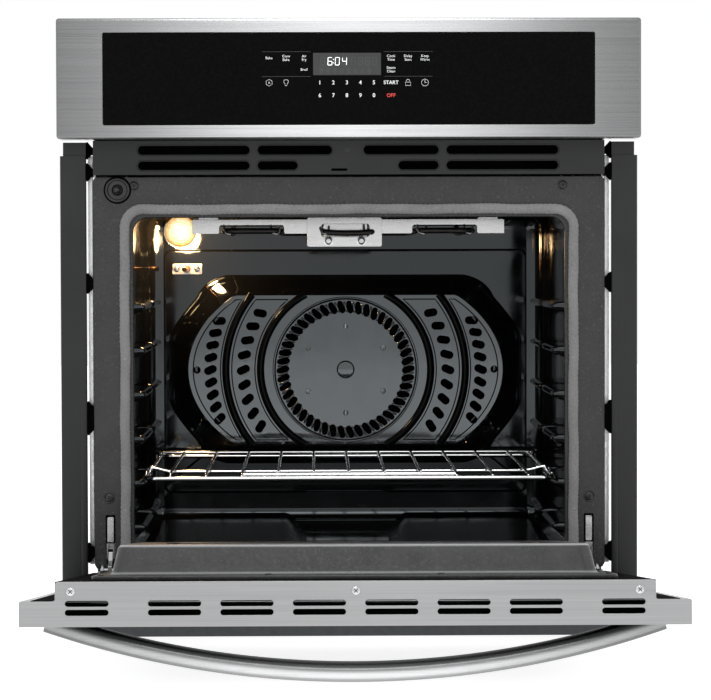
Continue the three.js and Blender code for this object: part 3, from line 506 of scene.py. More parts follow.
def finish_piece(obj, body, replaces=(), smooth_angle=SHARP_DEG):
    """Shades a piece and hands it to its body."""
    mesh = obj.data
    mesh.shade_smooth()
    mesh.set_sharp_from_angle(angle=math.radians(smooth_angle))
    even = obj.modifiers.new("normals", "WEIGHTED_NORMAL")
    even.keep_sharp = True
    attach(obj, body)
    if replaces:
        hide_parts(*replaces)
    return obj


def sheet_metal(obj, thickness):
    """Gives an open skin its thickness, away from the side it shows."""
    solid = obj.modifiers.new("sheet", "SOLIDIFY")
    solid.thickness = thickness * MM
    solid.offset = -1
    obj.modifiers.move(len(obj.modifiers) - 1, 0)
    return obj


def piece(name, verts, faces, mat, body, replaces=(), smooth_angle=SHARP_DEG):
    """A mesh object from points in millimetres."""
    mesh = bpy.data.meshes.new(name)
    mesh.from_pydata([(x * MM, y * MM, z * MM) for x, y, z in verts], [], faces)
    bm = bmesh.new()
    bm.from_mesh(mesh)
    bmesh.ops.remove_doubles(bm, verts=bm.verts, dist=2e-6)
    bmesh.ops.delete(bm, geom=[v for v in bm.verts if not v.link_faces], context="VERTS")
    bmesh.ops.recalc_face_normals(bm, faces=bm.faces)
    bm.to_mesh(mesh)
    bm.free()
    mesh.materials.append(MAT[mat])
    obj = bpy.data.objects.new(name, mesh)
    SCENE.collection.objects.link(obj)
    return finish_piece(obj, body, replaces, smooth_angle)


class Build:
    """Collects closed shapes that become one mesh."""

    def __init__(self):
        self.verts = []
        self.faces = []

    def add(self, verts, faces):
        base = len(self.verts)
        self.verts += [tuple(v) for v in verts]
        self.faces += [tuple(i + base for i in f) for f in faces]
        return self

    def skin(self, loops, caps=(True, True), closed=True):
        """Quads between loops of the same length."""
        n = len(loops[0])
        verts = [p for loop in loops for p in loop]
        faces = []
        span = n if closed else n - 1
        for k in range(len(loops) - 1):
            for i in range(span):
                j = (i + 1) % n
                faces.append((k * n + i, k * n + j, (k + 1) * n + j, (k + 1) * n + i))
        if caps[0]:
            faces.append(tuple(range(n)))
        if caps[1]:
            faces.append(tuple(range((len(loops) - 1) * n, len(loops) * n)))
        return self.add(verts, faces)

    def tube(self, path, radius, sides=12, rounded=True, closed=False):
        """Round bar along points; radius may vary point by point."""
        pts = [Vector(p) for p in path]
        radii = radius if hasattr(radius, "__len__") else [radius] * len(pts)
        count = len(pts)
        loops = []
        ref = None
        for i, p in enumerate(pts):
            before = pts[(i - 1) % count] if closed or i else pts[0]
            after = pts[(i + 1) % count] if closed or i < count - 1 else pts[-1]
            t = (after - before).normalized()
            if ref is None:
                ref = Vector((0, 0, 1)) if abs(t.z) < 0.9 else Vector((1, 0, 0))
            side = (ref - t * ref.dot(t)).normalized()
            ref = side
            other = t.cross(side)
            r = radii[i]
            ring = [p + side * (r * math.cos(a)) + other * (r * math.sin(a))
                    for a in (2 * math.pi * k / sides for k in range(sides))]
            loops.append(ring)
            if rounded and not closed and i in (0, count - 1):
                out = -t if i == 0 else t
                dome = []
                for s in (0.55, 0.85, 0.98):
                    shrink = math.sqrt(1 - s * s)
                    dome.append([p + (q - p) * shrink + out * (r * s) for q in ring])
                if i == 0:
                    loops = dome[::-1] + loops
                else:
                    loops += dome
        return self.hoop(loops) if closed else self.skin(loops)

    def box(self, x0, x1, y0, y1, z0, z1, r=0.5):
        """Block with its edges eased."""
        rings = []
        levels = [(z0, r), (z0 + r * 0.3, r * 0.3), (z0 + r, 0),
                  (z1 - r, 0), (z1 - r * 0.3, r * 0.3), (z1, r)]
        for z, e in levels:
            outline = rect(x0 + e, x1 - e, y0 + e, y1 - e, max(r - e * 0.5, 0.15), 2, 0)
            rings.append([(x, y, z) for x, y in outline])
        return self.skin(rings)

    def hoop(self, rings):
        """Quads between rings, and from the last back to the first."""
        return self.skin(rings + [rings[0]], (False, False))

    def side_box(self, sign, x0, x1, *rest):
        """A block on the right for sign 1, or its mirror image on the left for -1."""
        low, high = sorted((sign * x0, sign * x1))
        return self.box(low, high, *rest)

    def lathe(self, profile, centre, axis="Y", steps=32):
        """Turned shape from (radius, along) pairs."""
        cx, cy, cz = centre
        loops = []
        for r, h in profile:
            ring = []
            for k in range(steps):
                a = 2 * math.pi * k / steps
                u, v = r * math.cos(a), r * math.sin(a)
                ring.append({"Y": (cx + u, cy + h, cz + v), "Z": (cx + u, cy + v, cz + h),
                             "X": (cx + h, cy + u, cz + v)}[axis])
            loops.append(ring)
        solid = profile[0][0] < 0.1 and profile[-1][0] < 0.1
        return self.skin(loops) if solid else self.hoop(loops)

    def done(self, name, mat, body, slot, replaces=(), smooth_angle=SHARP_DEG):
        return piece(name, self.verts, self.faces, mat, body, replaces, smooth_angle)


def rect(x0, x1, z0, z1, r, corner=5, side=4):
    """Rounded rectangle as the same count of points whatever its size."""
    pts = []
    arcs = [(x1 - r, z0 + r, -0.5), (x1 - r, z1 - r, 0.0), (x0 + r, z1 - r, 0.5), (x0 + r, z0 + r, 1.0)]
    for k, (cx, cz, turn) in enumerate(arcs):
        for i in range(corner + 1):
            a = math.pi * (turn + 0.5 * i / corner)
            pts.append((cx + r * math.cos(a), cz + r * math.sin(a)))
        nx, nz, nturn = arcs[(k + 1) % 4]
        start = pts[-1]
        a = math.pi * nturn
        end = (nx + r * math.cos(a), nz + r * math.sin(a))
        for i in range(1, side + 1):
            s = i / (side + 1)
            pts.append((start[0] + (end[0] - start[0]) * s, start[1] + (end[1] - start[1]) * s))
    return pts


def smooth(a, b, x):
    """Rises gently from 0 to 1 between a and b."""
    t = min(max((x - a) / (b - a), 0.0), 1.0)
    return t * t * (3 - 2 * t)


def circle_loop(x, z, r, n=32):
    return [(x + r * math.cos(2 * math.pi * k / n), z + r * math.sin(2 * math.pi * k / n)) for k in range(n)]


def at_depth(outline, y):
    """Points of an outline drawn in X and Z, standing at a depth."""
    return [(x, y, z) for x, z in outline]


def nested(x0, x1, z0, z1, r, profile, corner, side):
    """The rounded rectangle, at each (growth, depth) of a profile."""
    return [at_depth(rect(x0 - grow, x1 + grow, z0 - grow, z1 + grow, r + grow, corner, side), y)
            for grow, y in profile]


def grown(loop, amount):
    """The loop moved sideways by an amount, outward from its own inside where positive."""
    area = sum(x0 * y1 - x1 * y0 for (x0, y0), (x1, y1) in zip(loop, loop[1:] + loop[:1]))
    turn = 1 if area > 0 else -1
    n = len(loop)
    out = []
    for i in range(n):
        (xa, ya), (xb, yb), (xc, yc) = loop[i - 1], loop[i], loop[(i + 1) % n]
        d0 = Vector((xb - xa, yb - ya)).normalized()
        d1 = Vector((xc - xb, yc - yb)).normalized()
        n0, n1 = Vector((d0.y, -d0.x)), Vector((d1.y, -d1.x))
        m = n0 + n1
        scale = 2 / max(m.length_squared, 0.8)
        out.append((xb + m.x * scale * amount * turn, yb + m.y * scale * amount * turn))
    return out


def encloses(loop, point):
    """Whether a loop goes round a point, by the edges that a ray from it crosses."""
    x, y = point
    inside = False
    for (x0, y0), (x1, y1) in zip(loop, loop[1:] + loop[:1]):
        if (y0 > y) != (y1 > y) and x < x0 + (x1 - x0) * (y - y0) / (y1 - y0):
            inside = not inside
    return inside


# A rounded edge as (share set back, share risen) of its radius.
EASED_EDGE = [(1.0, 0.0), (0.62, 0.08), (0.3, 0.3), (0.08, 0.62), (0.0, 1.0)]


def plate(name, loops, low, high, ease, mat, body, slot, place=None, replaces=(), smooth_angle=40):
    """Sheet cut to the first loop with the other loops as holes, edges eased, between two levels."""
    b = Build()
    levels = [(ease * back, low + ease * rise) for back, rise in EASED_EDGE]
    levels += [(ease * back, high - ease * rise) for back, rise in reversed(EASED_EDGE)]
    trimmed = []
    for k, loop in enumerate(loops):
        sign = -1 if k == 0 else 1
        b.skin([[(x, y, level) for x, y in grown(loop, sign * e)] for e, level in levels], (False, False))
        trimmed.append(grown(loop, sign * ease))
    points = [Vector(p) for loop in trimmed for p in loop]
    edges, base = [], 0
    for loop in trimmed:
        n = len(loop)
        edges += [(base + i, base + (i + 1) % n) for i in range(n)]
        base += n
    flat, _, tris, *_ = delaunay_2d_cdt(points, edges, [], 0, 1e-6)
    kept = []
    for t in tris:
        middle = sum((flat[i] for i in t), Vector((0, 0))) / len(t)
        if encloses(trimmed[0], middle) and not any(encloses(hole, middle) for hole in trimmed[1:]):
            kept.append(t)
    for level in (low, high):
        b.add([(p.x, p.y, level) for p in flat], kept)
    if place is None:
        b.verts = [(x, z, y) for x, y, z in b.verts]
    else:
        b.verts = [tuple((place @ (Vector(v) * MM)) / MM) for v in b.verts]
    return b.done(name, mat, body, slot, replaces, smooth_angle)


# Outlines are drawn in X and Z and stand at a depth: (a, b, c) goes to (a, c, b).
FACE_XZ = Matrix(((1, 0, 0, 0), (0, 0, 1, 0), (0, 1, 0, 0), (0, 0, 0, 1)))

# The door is drawn shut, measured from its hinge axis, and stands open at the rest pose.
OPEN = math.radians(85)
HINGE = Vector((0, -10 * MM, 79 * MM))
DOOR = Matrix.Translation(HINGE) @ Matrix.Rotation(OPEN, 4, "X")


def door_point(p):
    """A point of the shut door, in millimetres, where the open door has it."""
    return DOOR @ (Vector(p) * MM) / MM


def on_door(build):
    build.verts = [tuple(door_point(v)) for v in build.verts]
    return build


# ---- Floor and light -------------------------------------------------------------------------
FLOOR_HALF_M, FLOOR_Z_M = 9, -0.0005
AIM_M = Vector((0, 0, 0.4))
OVEN_LAMP_M = (-0.214, 0.425, 0.474)
# (name, place in metres, size, watts, colour)
LIGHTS = [("key", (-1.9, -2.6, 2.9), 1.8, 10, (1.0, 0.99, 0.97)),
          ("fill", (2.8, -1.6, 1.6), 1.5, 5, (0.97, 0.98, 1.0)),
          ("front", (0.0, -4.2, 2.6), 1.0, 9, (1, 1, 1)), ("top", (0.0, -1.3, 2.7), 0.7, 12, (1, 1, 1))]


def studio():
    half = FLOOR_HALF_M
    mesh = bpy.data.meshes.new("floor")
    corners = ((-half, -half), (half, -half), (half, half), (-half, half))
    mesh.from_pydata([(x, y, FLOOR_Z_M) for x, y in corners], [], [(0, 1, 2, 3)])
    p = Paint("floor_pale", (0.5, 0.5, 0.5), 0.9)
    p.to("Base Color", p.tones(p.noise(3.0, 2.0), 0.49, 0.51))
    p.set("Emission Color", (1, 1, 1, 1))
    p.set("Emission Strength", 0.86)
    mesh.materials.append(p.mat)
    floor = bpy.data.objects.new("floor", mesh)
    SCENE.collection.objects.link(floor)

    world = bpy.data.worlds.new("studio")
    world.use_nodes = True
    back = world.node_tree.nodes["Background"]
    back.inputs["Color"].default_value = (1.0, 1.0, 1.0, 1)
    back.inputs["Strength"].default_value = 1.0
    SCENE.world = world

    for name, place, size, power, color in LIGHTS:
        data = bpy.data.lights.new(name, "AREA")
        data.size = size
        data.energy = power
        data.color = color
        lamp = bpy.data.objects.new(name, data)
        aim = AIM_M - Vector(place)
        lamp.matrix_world = Matrix.Translation(place) @ aim.to_track_quat("-Z", "Y").to_matrix().to_4x4()
        SCENE.collection.objects.link(lamp)

    data = bpy.data.lights.new("oven_lamp", "POINT")
    data.energy = 1.6
    data.shadow_soft_size = 0.018
    data.color = (1.0, 0.6, 0.27)
    lamp = bpy.data.objects.new("oven_lamp", data)
    lamp.location = OVEN_LAMP_M
    SCENE.collection.objects.link(lamp)
    SCENE.view_settings.view_transform = "Standard"


studio()

# ---- Control panel ---------------------------------------------------------------------------
PANEL_HALF, PANEL_LOW, PANEL_HIGH, PANEL_Y = 343.0, 589.0, 730.0, -41.5
GLASS_HALF, GLASS_LOW, GLASS_HIGH = 288.5, 605.0, 713.0
INK_Y = PANEL_Y + 0.33


def control_panel():
    b = Build()
    rim = [(0.0, 6.0), (0.0, 1.2), (0.15, 0.5), (0.5, 0.15), (1.2, 0.0)]
    loops = nested(-GLASS_HALF, GLASS_HALF, GLASS_LOW, GLASS_HIGH, 2,
                   [(grow, PANEL_Y + y) for grow, y in rim], 5, 12)
    radius, corner = 3.2, 3.5
    for k in range(7):
        a = math.pi / 2 * k / 6
        inset = radius * (1 - math.sin(a))
        depth = radius * (1 - math.cos(a))
        outline = rect(-PANEL_HALF + inset, PANEL_HALF - inset, PANEL_LOW + inset, PANEL_HIGH - inset,
                       max(corner - inset * 0.6, 1.0), 5, 12)
        loops.append(at_depth(outline, PANEL_Y + depth))
    for depth in (10.0, 25.0, 41.2):
        outline = rect(-PANEL_HALF, PANEL_HALF, PANEL_LOW, PANEL_HIGH, corner, 5, 12)
        loops.append(at_depth(outline, PANEL_Y + depth))
    b.skin(loops, (False, False))
    obj = b.done("panel_bezel", "brushed", "chassis", "brushed_panel", ["control_bezel"])
    sheet_metal(obj, 1.2)

    slack = 0.3
    glass = rect(-GLASS_HALF + slack, GLASS_HALF - slack, GLASS_LOW + slack, GLASS_HIGH - slack, 2, 5, 0)
    plate("panel_glass", [glass], PANEL_Y + 0.4, PANEL_Y + 4.4, 0.35, "black_glass", "chassis",
          "black_glass", replaces=["control_glass"])


def stroke(b, points, width, closed=False):
    """Printed line: a thin flat ribbon on the glass."""
    pts = [Vector((x, z)) for x, z in points]
    n = len(pts)
    left, right = [], []
    for i, p in enumerate(pts):
        before = pts[(i - 1) % n] if closed or i else pts[0]
        after = pts[(i + 1) % n] if closed or i < n - 1 else pts[-1]
        t = (after - before).normalized()
        side = Vector((-t.y, t.x)) * (width / 2)
        left.append(p + side)
        right.append(p - side)
    loops = []
    for i in range(n):
        a, c = left[i], right[i]
        loops.append([(a.x, INK_Y, a.y), (c.x, INK_Y, c.y), (c.x, INK_Y + 0.1, c.y), (a.x, INK_Y + 0.1, a.y)])
    if closed:
        b.hoop(loops)
    else:
        b.skin(loops)


def words(name, rows, mat):
    """Generic legends, set in the built-in typeface: (text, x, z, cap height, bold)."""
    verts, faces = [], []
    for text, x, z, size, bold in rows:
        curve = bpy.data.curves.new("legend", "FONT")
        curve.body = text
        curve.size = size * 1.4 * MM
        curve.align_x = "CENTER"
        curve.align_y = "CENTER"
        curve.extrude = 0.04 * MM
        curve.offset = (0.008 if bold else -0.006) * size * MM
        curve.resolution_u = 3
        holder = bpy.data.objects.new("legend", curve)
        SCENE.collection.objects.link(holder)
        bpy.context.view_layer.update()
        mesh = bpy.data.meshes.new_from_object(holder.evaluated_get(bpy.context.evaluated_depsgraph_get()))
        base = len(verts)
        verts += [(x + v.co.x / MM, INK_Y + 0.05 - v.co.z / MM, z + v.co.y / MM) for v in mesh.vertices]
        faces += [tuple(i + base for i in f.vertices) for f in mesh.polygons]
        bpy.data.objects.remove(holder)
        bpy.data.curves.remove(curve)
        bpy.data.meshes.remove(mesh)
    return piece(name, verts, faces, mat, "chassis")


# Columns and rows of the touch keys, and their letter heights.
COLUMNS = [-93.6, -73.7, -52.6, 49.3, 69.2, 89.0]
WORD_TOP, WORD_LOW, WORD_MIDDLE, KEY_TOP, KEY_LOW = 685.2, 681, 683, 654.2, 639.2
WORD_MM, START_MM, DIGIT_MM = 3.05, 4.3, 4.7


def legends():
    rows = [("Bake", COLUMNS[0], WORD_MIDDLE)]
    for column, upper, lower in ((1, "Conv", "Bake"), (2, "Air", "Fry"), (3, "Cook", "Time"),
                                 (4, "Delay", "Start"), (5, "Keep", "Warm")):
        rows += [(upper, COLUMNS[column], WORD_TOP), (lower, COLUMNS[column], WORD_LOW)]
    rows += [("Broil", COLUMNS[2], 669.5), ("Steam", COLUMNS[3], 671.6), ("Clean", COLUMNS[3], 667.4)]
    rows = [(text, x, z, WORD_MM, False) for text, x, z in rows]
    rows.append(("START", COLUMNS[3], KEY_TOP, START_MM, True))
    for k in range(10):
        rows.append((str((k + 1) % 10), -34.2 + 15.85 * (k % 5), KEY_TOP if k < 5 else KEY_LOW, DIGIT_MM,
                     True))
    words("legends", rows, "ink")
    words("legend_off", [("OFF", COLUMNS[3], KEY_LOW, START_MM, True)], "ink_red")


def legend_rules():
    lines = Build()
    for x0, x1 in ((-102, -45), (41, 98)):
        for z in (690.5, 661.5):
            stroke(lines, [(x0, z), (x1, z)], 0.3)
    lines.done("legend_rules", "ink_dim", "chassis", "display")


def legend_icons():
    """A hexagon, a bulb, a padlock and a clock."""
    icons = Build()
    x, z = COLUMNS[0], KEY_TOP
    stroke(icons, [(x + 4 * math.cos(math.pi / 6 + k * math.pi / 3),
                    z + 4 * math.sin(math.pi / 6 + k * math.pi / 3)) for k in range(6)], 0.32, True)
    for k in range(3):
        a = math.pi / 2 + k * math.pi * 2 / 3
        stroke(icons, [(x, z), (x + 1.4 * math.cos(a), z + 1.4 * math.sin(a))], 0.45)
    x = COLUMNS[1]
    stroke(icons, [(x - 1.1, z - 2.4), (x - 1.3, z - 1.2), (x - 2.7, z + 0.8), (x - 2.4, z + 2.8),
                   (x, z + 3.9), (x + 2.4, z + 2.8), (x + 2.7, z + 0.8), (x + 1.3, z - 1.2),
                   (x + 1.1, z - 2.4)], 0.32)
    stroke(icons, [(x - 1.1, z - 3.3), (x + 1.1, z - 3.3)], 0.35)
    x = COLUMNS[4]
    stroke(icons, [(x - 3, z - 3.4), (x + 3, z - 3.4), (x + 3, z + 0.5), (x - 3, z + 0.5)], 0.35, True)
    stroke(icons, [(x + 2 * math.cos(a), z + 1.6 + 2.2 * math.sin(a))
                   for a in (math.pi * k / 8 for k in range(9))], 0.35)
    x = COLUMNS[5]
    stroke(icons, [(x + 4 * math.cos(a), z + 4 * math.sin(a))
                   for a in (math.pi * k / 12 for k in range(24))], 0.32, True)
    stroke(icons, [(x, z + 2.6), (x, z)], 0.35)
    stroke(icons, [(x, z), (x + 2, z)], 0.35)
    icons.done("legend_icons", "ink", "chassis", "display")


SEGMENT_KEYS = {"0": "abcdef", "4": "bcfg", "6": "acdefg", "8": "abcdefg"}


def digit(b, x, z, w, h, t, keys):
    lean = 0.04
    ends = {"a": ((0, 1), (1, 1)), "b": ((1, 1), (1, 0.5)), "c": ((1, 0.5), (1, 0)), "d": ((0, 0), (1, 0)),
            "e": ((0, 0.5), (0, 0)), "f": ((0, 1), (0, 0.5)), "g": ((0, 0.5), (1, 0.5))}
    for key in keys:
        (u0, v0), (u1, v1) = ends[key]
        p = Vector((x + u0 * w + v0 * h * lean, z + v0 * h))
        q = Vector((x + u1 * w + v1 * h * lean, z + v1 * h))
        t_dir = (q - p).normalized()
        side = Vector((-t_dir.y, t_dir.x)) * t / 2
        p, q = p + t_dir * t * 0.18, q - t_dir * t * 0.18
        line = [p, p + t_dir * t / 2 + side, q - t_dir * t / 2 + side, q, q - t_dir * t / 2 - side,
                p + t_dir * t / 2 - side]
        b.skin([[(v.x, INK_Y - 0.06, v.y) for v in line], [(v.x, INK_Y + 0.02, v.y) for v in line]])


def display():
    plate("display_screen", [rect(-42, 37.5, 663, 689, 0.6, 3, 0)], INK_Y - 0.04, INK_Y + 0.1, 0.02,
          "display", "chassis", "display")
    lit, faint = Build(), Build()
    height, width, thick, foot = 8.8, 4.8, 0.66, 674.8
    for x, text in ((-24.8, "6"), (-16.2, "0"), (-7.8, "4")):
        digit(lit, x, foot, width, height, thick, SEGMENT_KEYS[text])
        digit(faint, x, foot, width, height, thick, [k for k in "abcdefg" if k not in SEGMENT_KEYS[text]])
    for z in (677.3, 681.3):
        dot = circle_loop(-18.1, z, 0.5, 10)
        lit.skin([at_depth(dot, INK_Y - 0.06), at_depth(dot, INK_Y + 0.02)])
    for x in (-33.2, 2.4, 10.8, 19.2, 27.6):
        digit(faint, x, foot, width, height, thick, SEGMENT_KEYS["8"])
    for k in range(8):
        digit(faint, -34 + 8.0 * k, 665.4, 3.0, 5.0, 0.7, SEGMENT_KEYS["8"])
    lit.done("display_digits", "segments", "chassis", "display")
    faint.done("display_ghosts", "display_faint", "chassis", "display")


# ---- Vent panel, front frame and its fittings ------------------------------------------------
VENT_HALF, VENT_LOW, VENT_HIGH = 302.5, 547.5, 588.2
# (low, high, ends of each slot)
VENT_ROWS = [
    (570.2, 583.4, [(-251, -116), (-109.5, -18.4), (15.8, 107.6), (114, 249.5)]),
    (551.9, 564.9, [(-251, -116), (-109.5, -59.1), (57, 107.6), (114, 249.5)]),
]


def facing(spot, way):
    """Puts a head's points on a face: a and c run across it, and h stands out of it."""
    x, y, z = spot
    sign = 1 if way[0] == "+" else -1
    if way[1] == "X":
        return lambda a, c, h: (x + sign * h, y + a, z + c)
    if way[1] == "Y":
        return lambda a, c, h: (x + a, y + sign * h, z + c)
    return lambda a, c, h: (x + a, y + c, z + sign * h)


def cap_face(x, y, z):
    """The same on the top edge of the door."""
    return lambda a, c, h: door_point((x + a, y + c, z + h))


def screw_head(b, put, r, pan=1.6, cross=0.55, turn=0.3):
    """Pan head with a cross recess; put(a, c, h) places a point across the head at height h."""
    steps = 40
    loops = []
    for q, h in ((r, 0.0), (r * 0.98, pan * 0.45), (r * 0.86, pan * 0.8), (r * 0.68, pan)):
        loops.append([put(q * math.cos(a), q * math.sin(a), h)
                      for a in (2 * math.pi * k / steps for k in range(steps))])
    for scale, h in ((1.0, pan * 1.02), (0.5, pan * 0.2)):
        ring = []
        for k in range(steps):
            a = 2 * math.pi * k / steps
            q = r * scale * (0.14 + cross * 0.75 * abs(math.cos(2 * (a - turn))) ** 6)
            ring.append(put(q * math.cos(a), q * math.sin(a), h))
        loops.append(ring)
    b.skin(loops)


def cross_recess(b, put, r, height, turn):
    """The cross in the head of a driven screw, drawn dark as painted shade for its recess."""
    rings = []
    for scale, h in ((1.0, height), (0.92, height + 0.06)):
        ring = []
        for k in range(40):
            a = 2 * math.pi * k / 40
            q = r * scale * (0.15 + 0.5 * abs(math.cos(2 * (a - turn))) ** 5)
            ring.append(put(q * math.cos(a), q * math.sin(a), h))
        rings.append(ring)
    b.skin(rings)


def vent_panel():
    loops = [rect(-VENT_HALF, VENT_HALF, VENT_LOW, VENT_HIGH, 1.2, 3, 0)]
    for low, high, spans in VENT_ROWS:
        loops += [rect(x0, x1, low, high, (high - low) / 2 - 0.05, 8, 0) for x0, x1 in spans]
    loops.append(rect(-21, -2, 552, 554.6, 1.2, 4, 0))
    plate("vent_face", loops, -12, -10.4, 0.5, "dark", "chassis", "dark_paint", replaces=["vent_panel"])


def vent_folds():
    """The panel's turned edges and the rims pressed round its slots."""
    lips = Build()
    for z0, z1 in ((586.4, VENT_HIGH), (VENT_LOW, 549.3)):
        lips.box(-VENT_HALF, VENT_HALF, -10.6, -0.6, z0, z1, 0.5)
    rim = [(0.2, -10.2), (0.2, -8.6), (-0.5, -7.8), (-1.5, -7.8), (-1.5, -8.4), (-0.6, -8.8), (-0.6, -10.2)]
    for low, high, spans in VENT_ROWS:
        for x0, x1 in spans:
            lips.hoop(nested(x0, x1, low, high, (high - low) / 2, rim, 8, 0))
    lips.done("vent_folds", "dark", "chassis", "dark_paint")


def vent_shade_and_screw():
    """A dark sheet behind the slots, painted shade for the hollow behind them, and the panel's screw."""
    shade_sheet = Build()
    # Painted shade: a near-black sheet where the slots show only shade.
    shade_sheet.box(-300, 300, 12, 13.2, 546.5, 590, 0.4)
    shade_sheet.done("vent_shade_wall", "void", "chassis", "dark_paint")
    screws = Build()
    screw_head(screws, facing((-1, -11.7, 577.5), "-Y"), 3.4, 0.5)
    screws.done("vent_screw", "dark_screw", "chassis", "dark_paint")


FRAME_HALF = 304.0
MOUTH_HALF, MOUTH_LOW, MOUTH_HIGH, MOUTH_R = 256.5, 102, 497.5, 18
SWITCH_X, SWITCH_Z = -274.5, 530.0


def front_frame():
    loops = [rect(-FRAME_HALF, FRAME_HALF, 80, 545.5, 7, 8, 0),
             rect(-MOUTH_HALF, MOUTH_HALF, MOUTH_LOW, MOUTH_HIGH, MOUTH_R, 12, 0)]
    for sign in (-1, 1):
        loops.append(rect(*sorted((sign * 279.5, sign * 290)), 84, 143, 1.5, 4, 0))
    loops.append(circle_loop(SWITCH_X, SWITCH_Z, 10.3, 40))
    plate("frame_face", loops, 0, 2.5, 0.8, "enamel", "chassis", "speckled_enamel", replaces=["front_frame"])


def frame_lip():
    lip = Build()
    profile = [(-0.5, 2.2), (0.0, 1.2), (0.6, 2.4), (1.2, 7.0), (1.4, 14.0), (0.4, 14.0), (0.0, 7.0),
               (-0.6, 3.2)]
    lip.hoop(nested(-MOUTH_HALF, MOUTH_HALF, MOUTH_LOW, MOUTH_HIGH, MOUTH_R, profile, 12, 10))
    lip.done("frame_lip", "enamel", "chassis", "speckled_enamel")


def frame_screws():
    screws = Build()
    for x, z, r in ((-255, 535, 4.4), (254, 535, 4.4), (-286, 164.5, 4.8), (285.5, 164.5, 4.8)):
        dish = ((1.45, 0.2), (1.38, -0.5), (1.22, -0.7), (1.05, -0.2))
        screws.skin([at_depth(circle_loop(x, z, r * q), y) for q, y in dish], (False, False))
        screw_head(screws, facing((x, -0.1, z), "-Y"), r, 1.2)
    screws.done("frame_screws", "dark_screw", "chassis", "dark_paint")


def frame_shadow_lines():
    """The dark gaps round the light switch and the hinge slots."""
    edges = Build()
    edges.lathe([(14.4, -0.2), (14.4, -0.9), (16.0, -0.9), (16.4, -0.2)], (SWITCH_X, 0, SWITCH_Z), "Y", 48)
    edges.lathe([(5.5, -1.9), (5.5, -2.3), (6.6, -2.2), (6.7, -1.8)], (SWITCH_X, -0.3, SWITCH_Z), "Y", 32)
    for sign in (-1, 1):
        for x0, x1, low, high in ((279.4, 281.0, 111, 144), (288.4, 290.1, 111, 144),
                                  (279.4, 290.1, 141.6, 144)):
            edges.side_box(sign, x0, x1, -1.5, -0.1, low, high, 0.2)
    edges.done("frame_shadow_lines", "void", "chassis", "dark_paint")


def light_switch():
    ring = Build()
    ring.lathe([(9.9, 0.0), (14.6, 0.0), (14.6, -2.6), (14.2, -3.5), (13.2, -4.0), (12.0, -3.6),
                (11.4, -2.4), (11.0, -1.9), (5.4, -1.7), (4.6, -2.2), (4.2, -2.0), (4.2, 2.0)],
               (SWITCH_X, -0.3, SWITCH_Z), "Y", 48)
    ring.lathe([(4.3, 0.5), (9.7, 0.5), (9.7, 26.0), (4.3, 26.0)], (SWITCH_X, 0, SWITCH_Z), "Y", 32)
    ring.done("switch_body", "black_plastic", "chassis", "black_plastic", ["light_switch_housing"])
    nose = Build()
    nose.lathe([(0.02, -16.7), (1.4, -16.4), (2.6, -15.5), (3.3, -14.3), (3.6, -13.0), (3.6, 18.0),
                (0.02, 18.0)], (SWITCH_X, 0, SWITCH_Z), "Y", 28)
    nose.done("switch_nose", "black_plastic", "switch_plunger", "black_plastic", ["light_switch_plunger"])


def gasket():
    """Woven glass-fibre rope: a flattened round with a herringbone of strands, and a slight wander."""
    centre, top, bend, low = 266.2, 506.8, 22.0, 92.0
    half_wide, half_deep, middle_y = 5.9, 3.3, -3.9
    path = []
    step = 1.3

    def run(p, q):
        d = math.dist(p, q)
        n = max(int(d / step), 1)
        for i in range(n):
            path.append((p[0] + (q[0] - p[0]) * i / n, p[1] + (q[1] - p[1]) * i / n))

    def turn(x, start):
        count = int(bend * math.pi / 2 / step)
        for i in range(count):
            a = start - math.pi / 2 * i / count
            path.append((x + bend * math.cos(a), top - bend + bend * math.sin(a)))

    run((-centre, low), (-centre, top - bend))
    turn(-centre + bend, math.pi)
    run((-centre + bend, top), (centre - bend, top))
    turn(centre - bend, math.pi / 2)
    run((centre, top - bend), (centre, low))
    path.append((centre, low))
    sides = 20
    loops = []
    for i, (x, z) in enumerate(path):
        x0, z0 = path[max(i - 1, 0)]
        x1, z1 = path[min(i + 1, len(path) - 1)]
        t = Vector((x1 - x0, z1 - z0)).normalized()
        n = Vector((-t.y, t.x))
        s = i * step
        wander = 0.35 * math.sin(s / 21.0) + 0.2 * math.sin(s / 8.3 + 1.0)
        fat = 1.0 + 0.025 * math.sin(s / 13.0 + 0.7)
        ring = []
        for k in range(sides):
            a = 2 * math.pi * k / sides
            weave = max(math.sin(s * 1.15 + 3 * a), math.sin(s * 1.15 - 3 * a))
            r = 1 + 0.055 * weave
            out = half_wide * fat * math.cos(a) * r + wander
            depth = max(middle_y + half_deep * math.sin(a) * r * fat, -7.35)
            ring.append((x + n.x * out, min(depth, -0.35), z + n.y * out))
        loops.append(ring)
    rope_piece = Build().skin(loops)
    clips = Build()
    for x, z in ((-centre, 150), (-centre, 330), (centre, 150), (centre, 330)):
        clips.tube([(x - 1.2, -0.6, z), (x - 1.2, -7.3, z), (x + 1.2, -7.3, z), (x + 1.2, -0.6, z)], 0.45, 8)
    rope_piece.done("gasket_rope", "rope", "chassis", "gasket_rope", ["door_gasket"], 60)
    clips.done("gasket_clips", "spring", "chassis", "gasket_rope")


